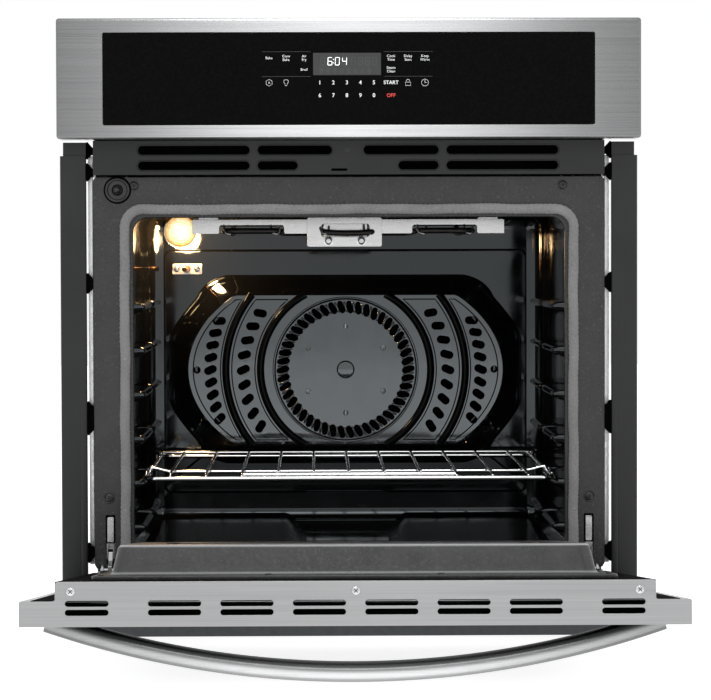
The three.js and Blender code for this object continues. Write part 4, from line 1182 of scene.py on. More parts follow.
def trims():
    """Roll-formed channels, each with folded edges and the hooks that hold it to the frame."""
    tabs = [(567, 586), (541, 561), (408, 431), (240, 279), (88, 111)]
    for side, sign in (("left", -1), ("right", 1)):
        b = Build()
        section = [(311.4, -0.3), (311.0, -2.5), (311.0, -9.8), (311.6, -11.3), (313.0, -12.0),
                   (317.5, -12.0), (318.2, -11.7), (319.0, -11.7), (319.7, -12.0), (339.2, -12.0),
                   (340.8, -11.4), (341.5, -9.9), (341.5, -2.2), (341.1, -0.4), (330.0, -0.4),
                   (329.6, -1.2), (330.0, -2.0), (338.8, -2.0), (339.5, -2.6), (339.5, -9.2),
                   (338.6, -10.0), (313.8, -10.0), (313.0, -9.2), (313.0, -0.3)]
        rings = []
        for z, e in ((62.0, 0.3), (62.3, 0.0), (180, 0), (320, 0), (460, 0), (569.7, 0.0), (570.0, 0.3)):
            rings.append([(sign * (x - (0.3 if x > 326 else -0.3) * e), y + 0.5 * e, z) for x, y in section])
        b.skin(rings)
        b.side_box(sign, 311, 338, -9, -7, 566, 586, 0.6)
        b.done(f"trim_{side}", "dark", "chassis", "dark_paint", [f"{side}_trim"])
        hooks = Build()
        for low, high in tabs:
            outline = [(311.6, low), (309.6, low - 1.0), (304.2, low + 5.0), (304.2, high - 5.0),
                       (309.6, high + 1.0), (311.6, high)]
            hooks.skin([[(sign * x, y, z) for x, z in outline] for y in (-4.2, -2.2)])
            hooks.side_box(sign, 304.3, 306.3, -3, 30, low + 5, high - 5, 0.5)
        hooks.done(f"trim_hooks_{side}", "void", "chassis", "dark_paint")
        strip = Build()
        strip.side_box(sign, 305.2, 310.4, 16, 17.2, 84, 571, 0.4)
        strip.side_box(sign, 305.2, 306.2, 17, 30, 84, 571, 0.3)
        strip.done(f"seal_strip_{side}", "strip", "chassis", "brushed_panel")


control_panel()
legends()
legend_rules()
legend_icons()
display()
vent_panel()
vent_folds()
vent_shade_and_screw()
front_frame()
frame_lip()
frame_screws()
frame_shadow_lines()
light_switch()
gasket()
trims()

# ---- Cavity ----------------------------------------------------------------------------------
CAVITY_HALF, CAVITY_FLOOR, CAVITY_TOP, CAVITY_BACK, CAVITY_R = 270.5, 87.0, 512.0, 480.0, 25.0
RIB_DEPTH = 24.0
RIB_TOPS = [181 + 53.3 * k for k in range(-1, 5)]
RIB_SHAPE = [(-17, 0), (-15.8, 0.04), (-14, 0.16), (-11, 0.42), (-8.5, 0.68), (-6.5, 0.88), (-5, 0.975),
             (-3.6, 1.0), (-2.2, 0.985), (-1.1, 0.93), (-0.4, 0.84), (-0.05, 0.7), (0.1, 0.4), (0.25, 0.14),
             (0.8, 0.04), (1.8, 0)]
RIB_RUNS = [(40, 225), (255, 440)]


def wall_heights(low, high):
    """(height, share of the rib's depth) up a side wall."""
    rows = [(low + (RIB_TOPS[0] - 17 - low) * k / 3, 0.0) for k in range(1, 3)]
    for n, top in enumerate(RIB_TOPS):
        rows += [(top + dz, d) for dz, d in RIB_SHAPE]
        end = RIB_TOPS[n + 1] - 17 if n + 1 < len(RIB_TOPS) else high
        start = top + 1.8
        count = 4 if n + 1 < len(RIB_TOPS) else 8
        rows += [(start + (end - start) * k / count, 0.0) for k in range(1, count)]
    return rows


def cavity_section(half, low, high, r, y, rib):
    """Round the walls once: right wall up, ceiling, left wall down, floor."""
    rows = wall_heights(CAVITY_FLOOR + CAVITY_R, CAVITY_TOP - CAVITY_R)
    base_low, base_high = CAVITY_FLOOR + CAVITY_R, CAVITY_TOP - CAVITY_R
    pts = []

    def corner(cx, cz, turn):
        for i in range(9):
            a = math.pi * (turn + 0.5 * i / 8)
            pts.append((cx + r * math.cos(a), y, cz + r * math.sin(a)))

    def height(z):
        s = (z - base_low) / (base_high - base_low)
        return low + r + s * (high - low - 2 * r)

    corner(half - r, low + r, -0.5)
    pts.extend((half - rib * RIB_DEPTH * d, y, height(z)) for z, d in rows)
    corner(half - r, high - r, 0.0)
    pts.extend((half - r - (2 * half - 2 * r) * k / 16, y, high) for k in range(1, 16))
    corner(r - half, high - r, 0.5)
    pts.extend((-half + rib * RIB_DEPTH * d, y, height(z)) for z, d in reversed(rows))
    corner(r - half, low + r, 1.0)
    pts.extend((r - half + (2 * half - 2 * r) * k / 16, y, low) for k in range(1, 16))
    return pts


def rib_share(y):
    return max(smooth(a, a + 13, y) * (1 - smooth(b - 13, b, y)) for a, b in RIB_RUNS)


def cavity_liner():
    loops = [cavity_section(276.5, 82, 520, 29, 3.0, 0), cavity_section(272.6, 85.4, 513.6, 27, 3.0, 0),
             cavity_section(271.0, 86.6, 512.4, 25.6, 3.8, 0), cavity_section(270.5, 87, 512, 25, 5.5, 0)]
    stations = [20, 38]
    for a, b in RIB_RUNS:
        stations += [a + 2.2 * k for k in range(7)] + [a + 13 + (b - a - 26) * k / 6 for k in range(1, 6)]
        stations += [b - 13.2 + 2.2 * k for k in range(7)]
    stations.append(452)
    for y in stations:
        loops.append(cavity_section(CAVITY_HALF, CAVITY_FLOOR, CAVITY_TOP, CAVITY_R, y, rib_share(y)))
    for k in range(1, 9):
        a = math.pi / 2 * k / 8
        inset = CAVITY_R * (1 - math.cos(a))
        depth = CAVITY_BACK - CAVITY_R * (1 - math.sin(a))
        loops.append(cavity_section(CAVITY_HALF - inset, CAVITY_FLOOR + inset, CAVITY_TOP - inset,
                                    max(CAVITY_R - inset, 3.0), depth, 0))
    # The stamped back inside its rim: half width, low and high edge, corner radius, depth.
    for ring in ((244.6, 132.4, 460.6, 9, 480.3), (243.6, 133.4, 459.6, 9, 480.0),
                 (242.6, 134.4, 458.6, 9, 479.0), (241.2, 135.8, 457.2, 8, 478.7),
                 (200, 170, 420, 8, 478.8), (100, 240, 360, 8, 479.0), (12, 290, 308, 4, 479.0)):
        loops.append(cavity_section(*ring, 0))
    b = Build().skin(loops, (False, True))
    obj = b.done("cavity_liner", "cavity", "chassis", "cavity_enamel", ["cavity_wrap", "cavity_back"], 50)
    sheet_metal(obj, 1.4)


def cavity_floor():
    """The floor's two raised pads, with its rise into the back."""
    def height(x, y):
        across = smooth(50, 82, abs(x)) * (1 - smooth(240, 262, abs(x)))
        along = smooth(70, 96, y)
        z = CAVITY_FLOOR + 0.25 + 13 * across * along
        if y > 469:
            z += 10.5 * (1 - math.sqrt(max(1 - ((y - 469) / 11) ** 2, 0)))
        return z

    xs = [-266 + 4 * k for k in range(134)]
    ys = [60 + 8 * k for k in range(51)] + [464, 467, 469, 471, 473, 475, 476.5, 478, 479, 479.7]
    verts = [(x, y, height(x, y)) for y in ys for x in xs]
    n = len(xs)
    faces = [(j * n + i, j * n + i + 1, (j + 1) * n + i + 1, (j + 1) * n + i)
             for j in range(len(ys) - 1) for i in range(n - 1)]
    pads = piece("cavity_floor_stamping", verts, faces, "floor", "chassis")
    sheet_metal(pads, 0.8)


# ---- Convection fan cover --------------------------------------------------------------------
FAN_Z = 299.5
COVER_Y = 452.0
LOUVRES, LOUVRE_RING, LOUVRE_LEAN = 46, 84.0, 0.28
SLOT_WIDE = 9.0


def cover_outline():
    """A quarter of the barrel outline, as points from the fan axis."""
    top, flat, wide = 127.0, 159.0, 237.0

    def quad(p, c, q, n=24):
        return [((1 - t) ** 2 * p[0] + 2 * t * (1 - t) * c[0] + t * t * q[0],
                 (1 - t) ** 2 * p[1] + 2 * t * (1 - t) * c[1] + t * t * q[1])
                for t in (k / n for k in range(1, n + 1))]

    quarter = [(wide, 0.0), (wide, 40.0)]
    quarter += quad((wide, 40), (wide, 55), (200, top - 30))
    quarter += quad((200, top - 30), (190, top - 6), (flat, top))
    quarter.append((0.0, top))
    return quarter


def radius_at(line, angle):
    """Distance from the axis to a quarter outline along a ray."""
    a = abs((angle + math.pi) % (2 * math.pi) - math.pi)
    if a > math.pi / 2:
        a = math.pi - a
    dx, dz = math.cos(a), math.sin(a)
    for (x0, z0), (x1, z1) in zip(line, line[1:]):
        ex, ez = x1 - x0, z1 - z0
        det = dx * ez - dz * ex
        if abs(det) < 1e-9:
            continue
        t = (x0 * ez - z0 * ex) / det
        s = (x0 * dz - z0 * dx) / det
        if t > 0 and -1e-6 <= s <= 1 + 1e-6:
            return t
    return line[-1][1]


def face_outline():
    """The flat face inside it: an oval cut off level at its top and bottom."""
    quarter = [(210 * math.cos(a), 140 * math.sin(a))
               for a in (math.asin(99.5 / 140) * k / 40 for k in range(41))]
    quarter.append((0.0, 99.5))
    return quarter


def polar(r, a):
    """A point round the fan axis."""
    return (r * math.cos(a), FAN_Z + r * math.sin(a))


def pill(x, z, length, width, angle):
    """A slot outline with round ends."""
    c, s = math.cos(angle), math.sin(angle)
    return [(x + u * c - v * s, z + u * s + v * c)
            for u, v in rect(-length / 2, length / 2, -width / 2, width / 2, width / 2 - 0.1, 6, 0)]


def cover_slots(sign):
    """(x, z, length, lean) of the two arcs of slots on one side."""
    slots = []
    for radius, step, count, length in ((137, 8.4, 4, 16.5), (181, 5.3, 4, 16)):
        for k in range(-count, count + 1):
            a = math.radians(step * k)
            lean = math.radians(-24) * sign + (a if sign > 0 else -a)
            slots.append((radius * math.cos(a) * sign, FAN_Z + radius * math.sin(a), length, lean))
    return slots


def fan_cover_band():
    outer, inner = cover_outline(), face_outline()
    steps = 360
    profile = [(0.0, 479.7), (0.0, 474.5), (0.015, 472.0), (0.05, 469.8), (0.12, 468.0), (0.22, 466.9),
               (0.27, 466.2), (0.30, 465.2), (0.34, 464.6), (0.45, 462.4), (0.6, 459.4), (0.76, 456.3),
               (0.88, 454.1), (0.95, 453.0), (1.0, 452.5), (1.05, 452.45)]
    loops = []
    for t, y in profile:
        ring = []
        for k in range(steps):
            a = 2 * math.pi * k / steps
            r = radius_at(outer, a) * (1 - t) + radius_at(inner, a) * t
            ring.append((r * math.cos(a), y, FAN_Z + r * math.sin(a)))
        loops.append(ring)
    band = Build().skin(loops, (False, False))
    obj = band.done("fan_cover_band", "cover", "chassis", "cavity_enamel", ["fan_cover"], 50)
    sheet_metal(obj, 1.0)


def fan_cover_face():
    inner = face_outline()
    face = [[polar(radius_at(inner, a) * 1.004, a) for a in (2 * math.pi * k / 240 for k in range(240))],
            circle_loop(0, FAN_Z, 95, 96)]
    for sign in (-1, 1):
        face += [pill(x, z, length, SLOT_WIDE, lean) for x, z, length, lean in cover_slots(sign)]
        face.append(circle_loop(sign * 199, FAN_Z, 4.6, 24))
    plate("fan_cover_face", face, COVER_Y, COVER_Y + 1.3, 0.45, "cover", "chassis", "cavity_enamel")


def fan_cover_stampings():
    """Rims pressed round the slots, curved ridges, and beads round each field of slots."""
    rims = Build()
    rim = [(0.2, 0.5), (0.9, -0.05), (0.8, -0.4), (0.35, -0.5), (-0.1, -0.1), (-0.2, 2.6), (0.1, 2.6)]
    for x, z, length, lean in cover_slots(-1) + cover_slots(1):
        rings = [at_depth(pill(x, z, length + 2 * grow, SLOT_WIDE + 2 * grow, lean), COVER_Y + y)
                 for grow, y in rim]
        rims.hoop(rings)
    for sign in (-1, 1):
        for radius in (114.0, 160.5):
            limit = math.asin(101.0 / radius)
            rings = []
            for k in range(61):
                a = -limit + 2 * limit * k / 60
                shrink = min(1.0, 0.25 + min(k, 60 - k) * 0.2)
                ring = []
                for u, h in ((-5.2, 0.6), (-4.9, -0.4), (-3.9, -2.2), (-2.4, -3.6), (-0.8, -4.2),
                             (0.8, -4.2), (2.4, -3.6), (3.9, -2.2), (4.9, -0.4), (5.2, 0.6)):
                    x, z = polar(radius + u, a)
                    ring.append((sign * x, COVER_Y + h * shrink, z))
                rings.append(ring)
            rims.skin(rings)
        for r_in, r_out, squeeze in ((121.5, 152.5, 0), (167.5, 0, 1)):
            a_in = math.asin(94.0 / r_in)
            path = [polar(r_in, -a_in + 2 * a_in * k / 30) for k in range(31)]
            if squeeze:
                top = math.asin(94 / 135)
                path += [(204 * math.cos(a), FAN_Z + 135 * math.sin(a))
                         for a in (top - 2 * top * k / 40 for k in range(41))]
            else:
                a_out = math.asin(94.0 / r_out)
                path += [polar(r_out, a_out - 2 * a_out * k / 30) for k in range(31)]
            rims.tube([(sign * x, COVER_Y + 0.1, z) for x, z in path], 0.85, 8, False, True)
    rims.done("fan_cover_stampings", "ridge", "chassis", "cavity_enamel", (), 50)


def fan_cover_grille():
    """The middle plate with its ring of slots, and a dark wall behind it as painted shade for the slots."""
    inner = face_outline()
    ring = [circle_loop(0, FAN_Z, 94.8, 96)]
    for k in range(LOUVRES):
        a = 2 * math.pi * k / LOUVRES
        ring.append(pill(*polar(LOUVRE_RING, a), 17, 7.0, a + LOUVRE_LEAN))
    for k in range(6):
        a = 2 * math.pi * (k + 0.5) / 6
        ring.append(circle_loop(*polar(58, a), 3.4, 20))
    plate("fan_cover_grille", ring, COVER_Y + 2.2, COVER_Y + 3.4, 0.4, "cover", "chassis", "cavity_enamel")
    # Painted shade: a near-black wall that darkens what shows through the slots.
    shade_outline = [[polar(radius_at(inner, a) * 0.95, a) for a in (2 * math.pi * k / 120 for k in range(120))],
               circle_loop(0, FAN_Z, 6.5, 32)]
    plate("fan_shade_wall", shade_outline, 477.2, 478.0, 0.2, "void", "chassis", "cavity_enamel")


def fan_cover_louvres():
    louvres = Build()
    for k in range(LOUVRES):
        a = 2 * math.pi * (k + 0.5) / LOUVRES
        c, s = math.cos(a + LOUVRE_LEAN), math.sin(a + LOUVRE_LEAN)
        cx, cz = polar(LOUVRE_RING, a)
        rings = []
        for u, w in ((-7.6, 0.5), (-6.6, 1.5), (-4, 1.9), (0, 2.0), (4, 1.9), (6.6, 1.5), (7.6, 0.5)):
            arch = ((-w, 0.3), (-w * 0.7, -0.5 * w), (0, -0.75 * w), (w * 0.8, -0.4 * w), (w, 0.3))
            rings.append([(cx + u * c - v * s, COVER_Y + 2.4 + h, cz + u * s + v * c) for v, h in arch])
        louvres.skin(rings)
    ridge = [(93.6, 1.0), (95.2, -0.2), (96.4, -0.7), (97.6, -0.2), (98.2, 0.6)]
    louvres.lathe(ridge, (0, COVER_Y, FAN_Z), "Y", 96)
    hub = [(0.02, 1.2), (9.0, 1.2), (11.5, 1.8), (13.0, 3.0), (0.02, 3.0)]
    louvres.lathe(hub, (0, COVER_Y, FAN_Z), "Y", 48)
    louvres.done("fan_cover_louvres", "cover", "chassis", "cavity_enamel", (), 50)
    screws = Build()
    for x, z in ((-188, 372), (188, 372), (-188, 227), (188, 227)):
        screw_head(screws, facing((x, 459.0, z), "-Y"), 4.2, 1.8)
    screws.done("fan_cover_screws", "dark_screw", "chassis", "cavity_enamel")


# ---- Lamp, sensor, elements ------------------------------------------------------------------
LAMP_X, LAMP_Y, LAMP_Z = -221.0, 473.5, 485.0
PROBE_X, SENSOR_Y, SENSOR_Z = -213, 475.6, 434.6


def lamp():
    b = Build()
    outer = [(0.02, -20.9), (3, -20.7), (6.5, -19.9), (7.0, -20.3), (7.5, -19.6), (10.5, -18.2),
             (11.0, -18.5), (11.5, -17.5), (14.2, -15.3), (14.7, -15.4), (15.1, -14.3), (17.6, -11.4),
             (18.0, -11.3), (18.4, -10.0), (20.4, -5.6), (21.3, -0.5), (21.5, 2.0), (21.5, 5.5),
             (19.0, 5.5), (18.6, 0.0), (15.0, -8.6), (9.0, -14.0), (0.02, -16.0)]
    b.lathe(outer, (LAMP_X, LAMP_Y, LAMP_Z), "Y", 48)
    b.done("lamp_cover", "lamp", "chassis", "lamp_glass", ["lamp_glass"], 60)
    ring = Build()
    collar = [(19.5, 3.0), (22.8, 3.0), (23.6, 4.2), (24.2, 6.0), (19.5, 6.0)]
    ring.lathe(collar, (LAMP_X, LAMP_Y, LAMP_Z), "Y", 48)
    ring.done("lamp_collar", "bright", "chassis", "pale_metal")
    bulb = Build()
    bulb.lathe([(0.02, -14.5), (2.5, -13.6), (4.6, -11.2), (5.6, -8.0), (6.0, -4.0), (6.0, 10.0),
                (0.02, 10.0)], (LAMP_X, 473.0, LAMP_Z), "Y", 24)
    bulb.done("lamp_capsule", "bulb", "chassis", "lamp_bulb", ["lamp_bulb"])


def sensor():
    plate("sensor_plate", [rect(-232.6, -192.4, 427.4, 441.6, 1.6, 4, 0)], SENSOR_Y, SENSOR_Y + 2, 0.4,
          "plate", "chassis", "pale_metal", replaces=["temperature_sensor"])
    screws = Build()
    for x in (-226.5, -199.5):
        screw_head(screws, facing((x, SENSOR_Y, SENSOR_Z), "-Y"), 4.0, 2.0, 0.7)
    screws.done("sensor_screws", "screw", "chassis", "pale_metal")
    probe = Build()
    probe.tube([(PROBE_X, y, SENSOR_Z) for y in (500, 470, 420, 389.5)], 3.1, 20)
    collar = [(3.2, 0), (5.4, 0), (5.4, -2.4), (4.6, -3.0), (3.2, -3.0)]
    probe.lathe(collar, (PROBE_X, SENSOR_Y, SENSOR_Z), "Y", 6)
    probe.done("sensor_probe", "copper", "chassis", "pale_metal")


BROIL_Z, BRACKET_Y = 482.0, 90.0


def serpentine(xs, front, back, z, start, sag=0.0):
    """Path of the broil element: runs at each x, joined by flattened bends."""
    pts = [(xs[0], start - (start - back) * k / 6, z) for k in range(6)]
    for i in range(len(xs) - 1):
        r = (xs[i + 1] - xs[i]) / 2
        y, outward = (front, -1) if i % 2 == 0 else (back, 1)
        before = pts[-1]
        target = y - outward * r * 0.55
        steps = 8 if i else 10
        pts += [(xs[i], before[1] + (target - before[1]) * k / steps, z) for k in range(1, steps)]
        for k in range(17):
            a = math.pi * k / 16
            flat = math.copysign(abs(math.sin(a)) ** 0.75, math.sin(a)) if k not in (0, 16) else 0.0
            low = sag * math.sin(a) if (i == 2 and outward < 0) else 0.0
            pts.append((xs[i] + r - r * math.cos(a), target + outward * r * 0.55 * flat, z - low))
    last = pts[-1]
    pts += [(xs[-1], last[1] + (start - last[1]) * k / 10, z) for k in range(1, 11)]
    return pts


def broil_element():
    b = Build()
    b.tube(serpentine([-151, -84, -33, 33, 84, 151], BRACKET_Y - 8, 430, BROIL_Z, 500, 3.0), 3.7, 14)
    b.done("broil_tube", "sheath", "chassis", "element_sheath", ["broil_element"], 60)


def broil_bracket():
    strip = [(-190, 478.5), (-158.5, 478.5), (-157, 480), (-157, 487), (-155, 489), (-80, 489), (-78, 487),
             (-78, 480), (-76.5, 478.5), (-46, 478.5), (-46, 490), (37, 490), (37, 478.5), (76.5, 478.5),
             (78, 480), (78, 487), (80, 489), (155, 489), (157, 487), (157, 480), (158.5, 478.5),
             (190, 478.5), (190, 495), (188.6, 496), (-188.6, 496), (-190, 495)]
    plate("broil_strip", [strip], BRACKET_Y, BRACKET_Y + 1.5, 0.35, "bright", "chassis", "pale_metal",
          replaces=["broil_bracket"])
    tab = rect(-50, 41, 462.5, 498.5, 2.5, 4, 0)
    window = rect(-33, 26, 474.5, 490.5, 4, 6, 0)
    plate("broil_tab", [tab, window], BRACKET_Y - 1.9, BRACKET_Y - 0.3, 0.4, "bright", "chassis",
          "pale_metal")
    hangers = Build()
    for x in (-170, 170):
        hangers.box(x - 12, x + 12, BRACKET_Y + 0.2, BRACKET_Y + 1.8, 489, 511.6, 0.4)
        hangers.box(x - 12, x + 12, BRACKET_Y + 0.2, BRACKET_Y + 18, 510.0, 511.6, 0.4)
    hangers.box(-30, 23, BRACKET_Y + 4, BRACKET_Y + 5.4, 472, 492, 0.4)
    for x in (-146, -89, -29, 24, 89, 146):
        hangers.tube([(x - 5, BRACKET_Y + 1, 489), (x - 5, BRACKET_Y - 2.5, 484),
                      (x - 3, BRACKET_Y - 4, 479.4), (x + 2, BRACKET_Y - 4, 477.6),
                      (x + 5, BRACKET_Y - 2.0, 480), (x + 5.5, BRACKET_Y + 1, 487)], 1.5, 10)
    hangers.done("broil_hangers", "bright", "chassis", "pale_metal")
    screws = Build()
    head = [(0.02, -3.4), (1.6, -3.4), (1.8, -2.2), (2.6, -2.2), (3.2, -3.2), (4.2, -2.4), (4.6, -1.0),
            (6.0, -0.7), (6.2, 0.0), (0.02, 0.0)]
    for x in (-24, 16):
        screws.lathe(head, (x, BRACKET_Y - 1.9, 469.5), "Y", 30)
    screws.done("broil_screws", "screw", "chassis", "pale_metal")


# ---- Door ------------------------------------------------------------------------------------
DOOR_OUT, DOOR_STEP, DOOR_IN, DOOR_TOP, DOOR_LOW = -49.0, -23.0, -3.0, 507.0, -29.0
SLOT_ROWS = [(-28.4, -22.4), (-37.5, -31.5)]
SLOT_SPANS = [(-296, -251.8), (-211.5, -157.6), (-137.8, -83.9), (-64, -10.1), (9.7, 63.6), (83.4, 137.3),
              (157.1, 211), (251.3, 295.5)]
# The door's faces are drawn in X and Z at a depth, its top edge in X and Y at a height.
DOOR_XZ = DOOR @ FACE_XZ
SKIN_TOP = 504.7
DOOR_HALF = 343.0
CAP_SCREWS, CAP_SCREW_Y, CAP_SCREW_TURN = (-290.5, 0.2, 290.0), -13.2, 0.78


def door_skin():
    half, fold = DOOR_HALF, 3.6
    rim = [(-0.4, 6.0), (-0.4, 1.0), (-0.1, 0.3), (0.6, 0.0)]
    loops = nested(-228, 228, 92, 372, 5, [(grow, DOOR_OUT + y) for grow, y in rim], 6, 12)
    for k in range(8):
        a = math.pi / 2 * k / 7
        inset = fold * (1 - math.sin(a))
        outline = rect(-half + inset, half - inset, DOOR_LOW + inset, SKIN_TOP - min(inset, 0.6),
                       3.8 - inset * 0.6, 6, 12)
        loops.append(at_depth(outline, DOOR_OUT + fold * (1 - math.cos(a))))
    for y in (-38, -30, DOOR_STEP - 0.6):
        loops.append(at_depth(rect(-half, half, DOOR_LOW, SKIN_TOP, 3.8, 6, 12), y))
    for inset, y in ((0.3, DOOR_STEP - 0.15), (1.0, DOOR_STEP), (34.0, DOOR_STEP)):
        dip = min(inset, 3)
        outline = rect(-half + inset, half - inset, DOOR_LOW + dip, SKIN_TOP - dip, 3, 6, 12)
        loops.append(at_depth(outline, y))
    b = Build().skin(loops, (False, False))
    b.faces = [f for f in b.faces if not all(b.verts[i][2] > 503.5 and DOOR_OUT + 4 < b.verts[i][1]
                                             for i in f)]
    obj = on_door(b).done("door_skin", "brushed", "door", "brushed_panel", ["door_outer_skin"])
    sheet_metal(obj, 1.0)
    plate("door_front_glass", [rect(-227.4, 227.4, 92.6, 371.4, 4, 6, 0)], DOOR_OUT + 0.3, DOOR_OUT + 4.2,
          0.4, "door_glass", "door", "black_glass", DOOR_XZ, ["door_outer_glass"])


def door_cap():
    half, narrow = DOOR_HALF, 306.5
    outline = [(-half, DOOR_OUT + 1.2), (-half + 0.4, DOOR_OUT + 0.4), (-half + 1.2, DOOR_OUT),
               (half - 1.2, DOOR_OUT), (half - 0.4, DOOR_OUT + 0.4), (half, DOOR_OUT + 1.2),
               (half, DOOR_STEP - 1), (half - 1, DOOR_STEP), (narrow + 2.0, DOOR_STEP),
               (narrow + 0.5, DOOR_STEP + 0.6), (narrow, DOOR_STEP + 2.0), (narrow, DOOR_IN - 3),
               (narrow - 0.9, DOOR_IN - 0.9), (narrow - 3, DOOR_IN), (-narrow + 3, DOOR_IN),
               (-narrow + 0.9, DOOR_IN - 0.9), (-narrow, DOOR_IN - 3), (-narrow, DOOR_STEP + 2.0),
               (-narrow - 0.5, DOOR_STEP + 0.6), (-narrow - 2.0, DOOR_STEP), (-half + 1, DOOR_STEP),
               (-half, DOOR_STEP - 1)]
    loops = [outline]
    for low, high in SLOT_ROWS:
        loops += [rect(x0, x1, low, high, (high - low) / 2 - 0.05, 8, 0) for x0, x1 in SLOT_SPANS]
    plate("door_cap", loops, 505.2, DOOR_TOP, 0.45, "shaded_satin", "door", "brushed_panel", DOOR, ["door_top_cap"])


def door_shade_sheets():
    """Dark sheets, painted shade for the inside that shows through the slots and past the frame."""
    inner = Build()
    # Painted shade under the slots and on the side flanges.
    inner.box(-335, 335, DOOR_OUT + 3, DOOR_STEP - 3, 486, 487.5, 0.4)
    for sign in (-1, 1):
        inner.side_box(sign, 310, 332, DOOR_STEP - 0.2, DOOR_STEP + 0.7, DOOR_LOW + 8, 500, 0.3)
    on_door(inner).done("door_shade_backing", "void", "door", "brushed_panel")


def door_cap_screws():
    screws = Build()
    for x in CAP_SCREWS:
        screw_head(screws, cap_face(x, CAP_SCREW_Y, DOOR_TOP), 4.6, 2.0, 0.62, CAP_SCREW_TURN)
    screws.done("door_cap_screws", "screw", "door", "brushed_panel")
    # Painted shade: dark crosses laid on the cap screws' heads.
    crosses = Build()
    for x in CAP_SCREWS:
        cross_recess(crosses, cap_face(x, CAP_SCREW_Y, DOOR_TOP), 4.6, 2.02, CAP_SCREW_TURN)
    crosses.done("door_cap_recesses", "recess", "door", "brushed_panel")


def door_liner():
    low, high = 29.0, 413.0
    # Each level of the stamping: half width, low and high edge, corner radius, depth from the flange.
    levels = [(274.3, 9, 447, 10, -2.7), (274.3, 9, 447, 10, 0.4), (274.0, 9.3, 446.7, 10, 1.4),
              (272.9, 10.4, 445.6, 9.5, 2.0), (262, 22, 420, 16, 2.0), (258.4, 25.6, 416.4, 15, 2.3),
              (256.2, 27.8, 414.2, 14.5, 3.4), (255.0, 29.0, 413.0, 14, 5.6)]
    for t in (0.25, 0.5, 0.75, 1.0):
        levels.append((255.0 - 5.0 * t, low + 5.0 * t, high - 5.0 * t, 14 + 2 * t, 5.6 + 23.0 * t))
    for k in range(1, 8):
        a = math.pi / 2 * k / 7
        e = 5.0 * (1 - math.cos(a))
        lean = 0.7 * math.sin(a)
        levels.append((250.0 - lean - e, low + 5.0 + lean + e, high - 5.0 - lean - e, 16 - e * 0.3,
                       28.6 + 5.0 * math.sin(a)))
    levels += [(209, 63, 379, 12, 33.6), (206.4, 65.6, 376.4, 11, 33.0), (204.6, 67.4, 374.6, 10, 31.0),
               (204.0, 68.0, 374.0, 10, 26.4)]
    loops = [at_depth(rect(-half, half, bottom, top, r, 8, 14), y) for half, bottom, top, r, y in levels]
    b = on_door(Build().skin(loops, (False, False)))
    obj = b.done("door_liner_stamping", "liner", "door", "speckled_enamel", ["door_liner"], 50)
    # The edge attribute, a painted highlight, is strongest on the two folds round the raised middle.
    shine = []
    for v in obj.data.vertices:
        x, y, z = (DOOR.inverted() @ v.co) / MM
        rim = abs(x) > 235 or not 45 < z < 395
        shine.append(max(0.0, 1 - abs(y - 32.4) / 1.6) * 0.9 if rim else 0.0)
        if rim and y < 6:
            shine[-1] = max(0.0, 1 - abs(y - 3.2) / 1.2) * 0.5
    obj.data.attributes.new("edge", "FLOAT", "POINT").data.foreach_set("value", shine)
    sheet_metal(obj, 1.0)
    plate("door_inner_pane", [rect(-211.5, 211.5, 60.5, 381.5, 4, 6, 0)], 23.2, 27.0, 0.4, "door_glass",
          "door", "black_glass", DOOR_XZ, ["door_inner_glass"])
    screws = Build()
    for span, z in ((248, 15.5), (265, 441.2)):
        for x in (-span, -90, 90, span):
            put = facing((x, 2.0, z), "+Y")
            screw_head(screws, lambda a, c, h, put=put: door_point(put(a, c, h)), 3.6, 1.5)
    screws.done("door_liner_screws", "dark_screw", "door", "speckled_enamel")


def squarer(share):
    """Fills an oval section out a little towards its box."""
    return math.copysign(abs(share) ** 0.88, share)


def door_handle():
    middle, painted_end_shade, half_span = 462.0, 48.0, 305.0
    radius = (half_span ** 2 + painted_end_shade ** 2) / (2 * painted_end_shade)
    spread = math.asin(half_span / radius) * 1.045
    turns = [2 * math.pi * j / 36 for j in range(36)]
    loops = []
    for k in range(129):
        a = -spread + 2 * spread * k / 128
        cx = radius * math.sin(a)
        cy = DOOR_OUT - 0.5 - (radius * math.cos(a) - (radius - painted_end_shade))
        ring = []
        for t in turns:
            u = 10.8 * squarer(math.cos(t))
            v = 14.0 * squarer(math.sin(t))
            ring.append((cx + u * math.sin(a), cy - u * math.cos(a), middle + v))
        loops.append(ring)
    b = Build().skin(loops)
    mesh = bpy.data.meshes.new("handle_bar")
    mesh.from_pydata([Vector(v) * MM for v in b.verts], [], b.faces)
    # The girth attribute runs round the section; the handle's material reads it for its painted shade and
    # highlight.
    girth = mesh.attributes.new("girth", "FLOAT", "POINT")
    girth.data.foreach_set("value", [0.5 + 0.5 * squarer(math.cos(t)) for _ in loops for t in turns])
    bm = bmesh.new()
    bm.from_mesh(mesh)
    cut = bmesh.ops.bisect_plane(bm, geom=bm.verts[:] + bm.edges[:] + bm.faces[:],
                                 plane_co=(0, (DOOR_OUT - 0.15) * MM, 0), plane_no=(0, 1, 0),
                                 clear_outer=True)
    edges = [e for e in cut["geom_cut"] if isinstance(e, bmesh.types.BMEdge)]
    bmesh.ops.holes_fill(bm, edges=edges, sides=0)
    bmesh.ops.recalc_face_normals(bm, faces=bm.faces)
    bm.to_mesh(mesh)
    bm.free()
    mesh.transform(DOOR)
    mesh.materials.append(MAT["handle"])
    obj = bpy.data.objects.new("handle_bar", mesh)
    SCENE.collection.objects.link(obj)
    finish_piece(obj, "door", ["handle"], 50)


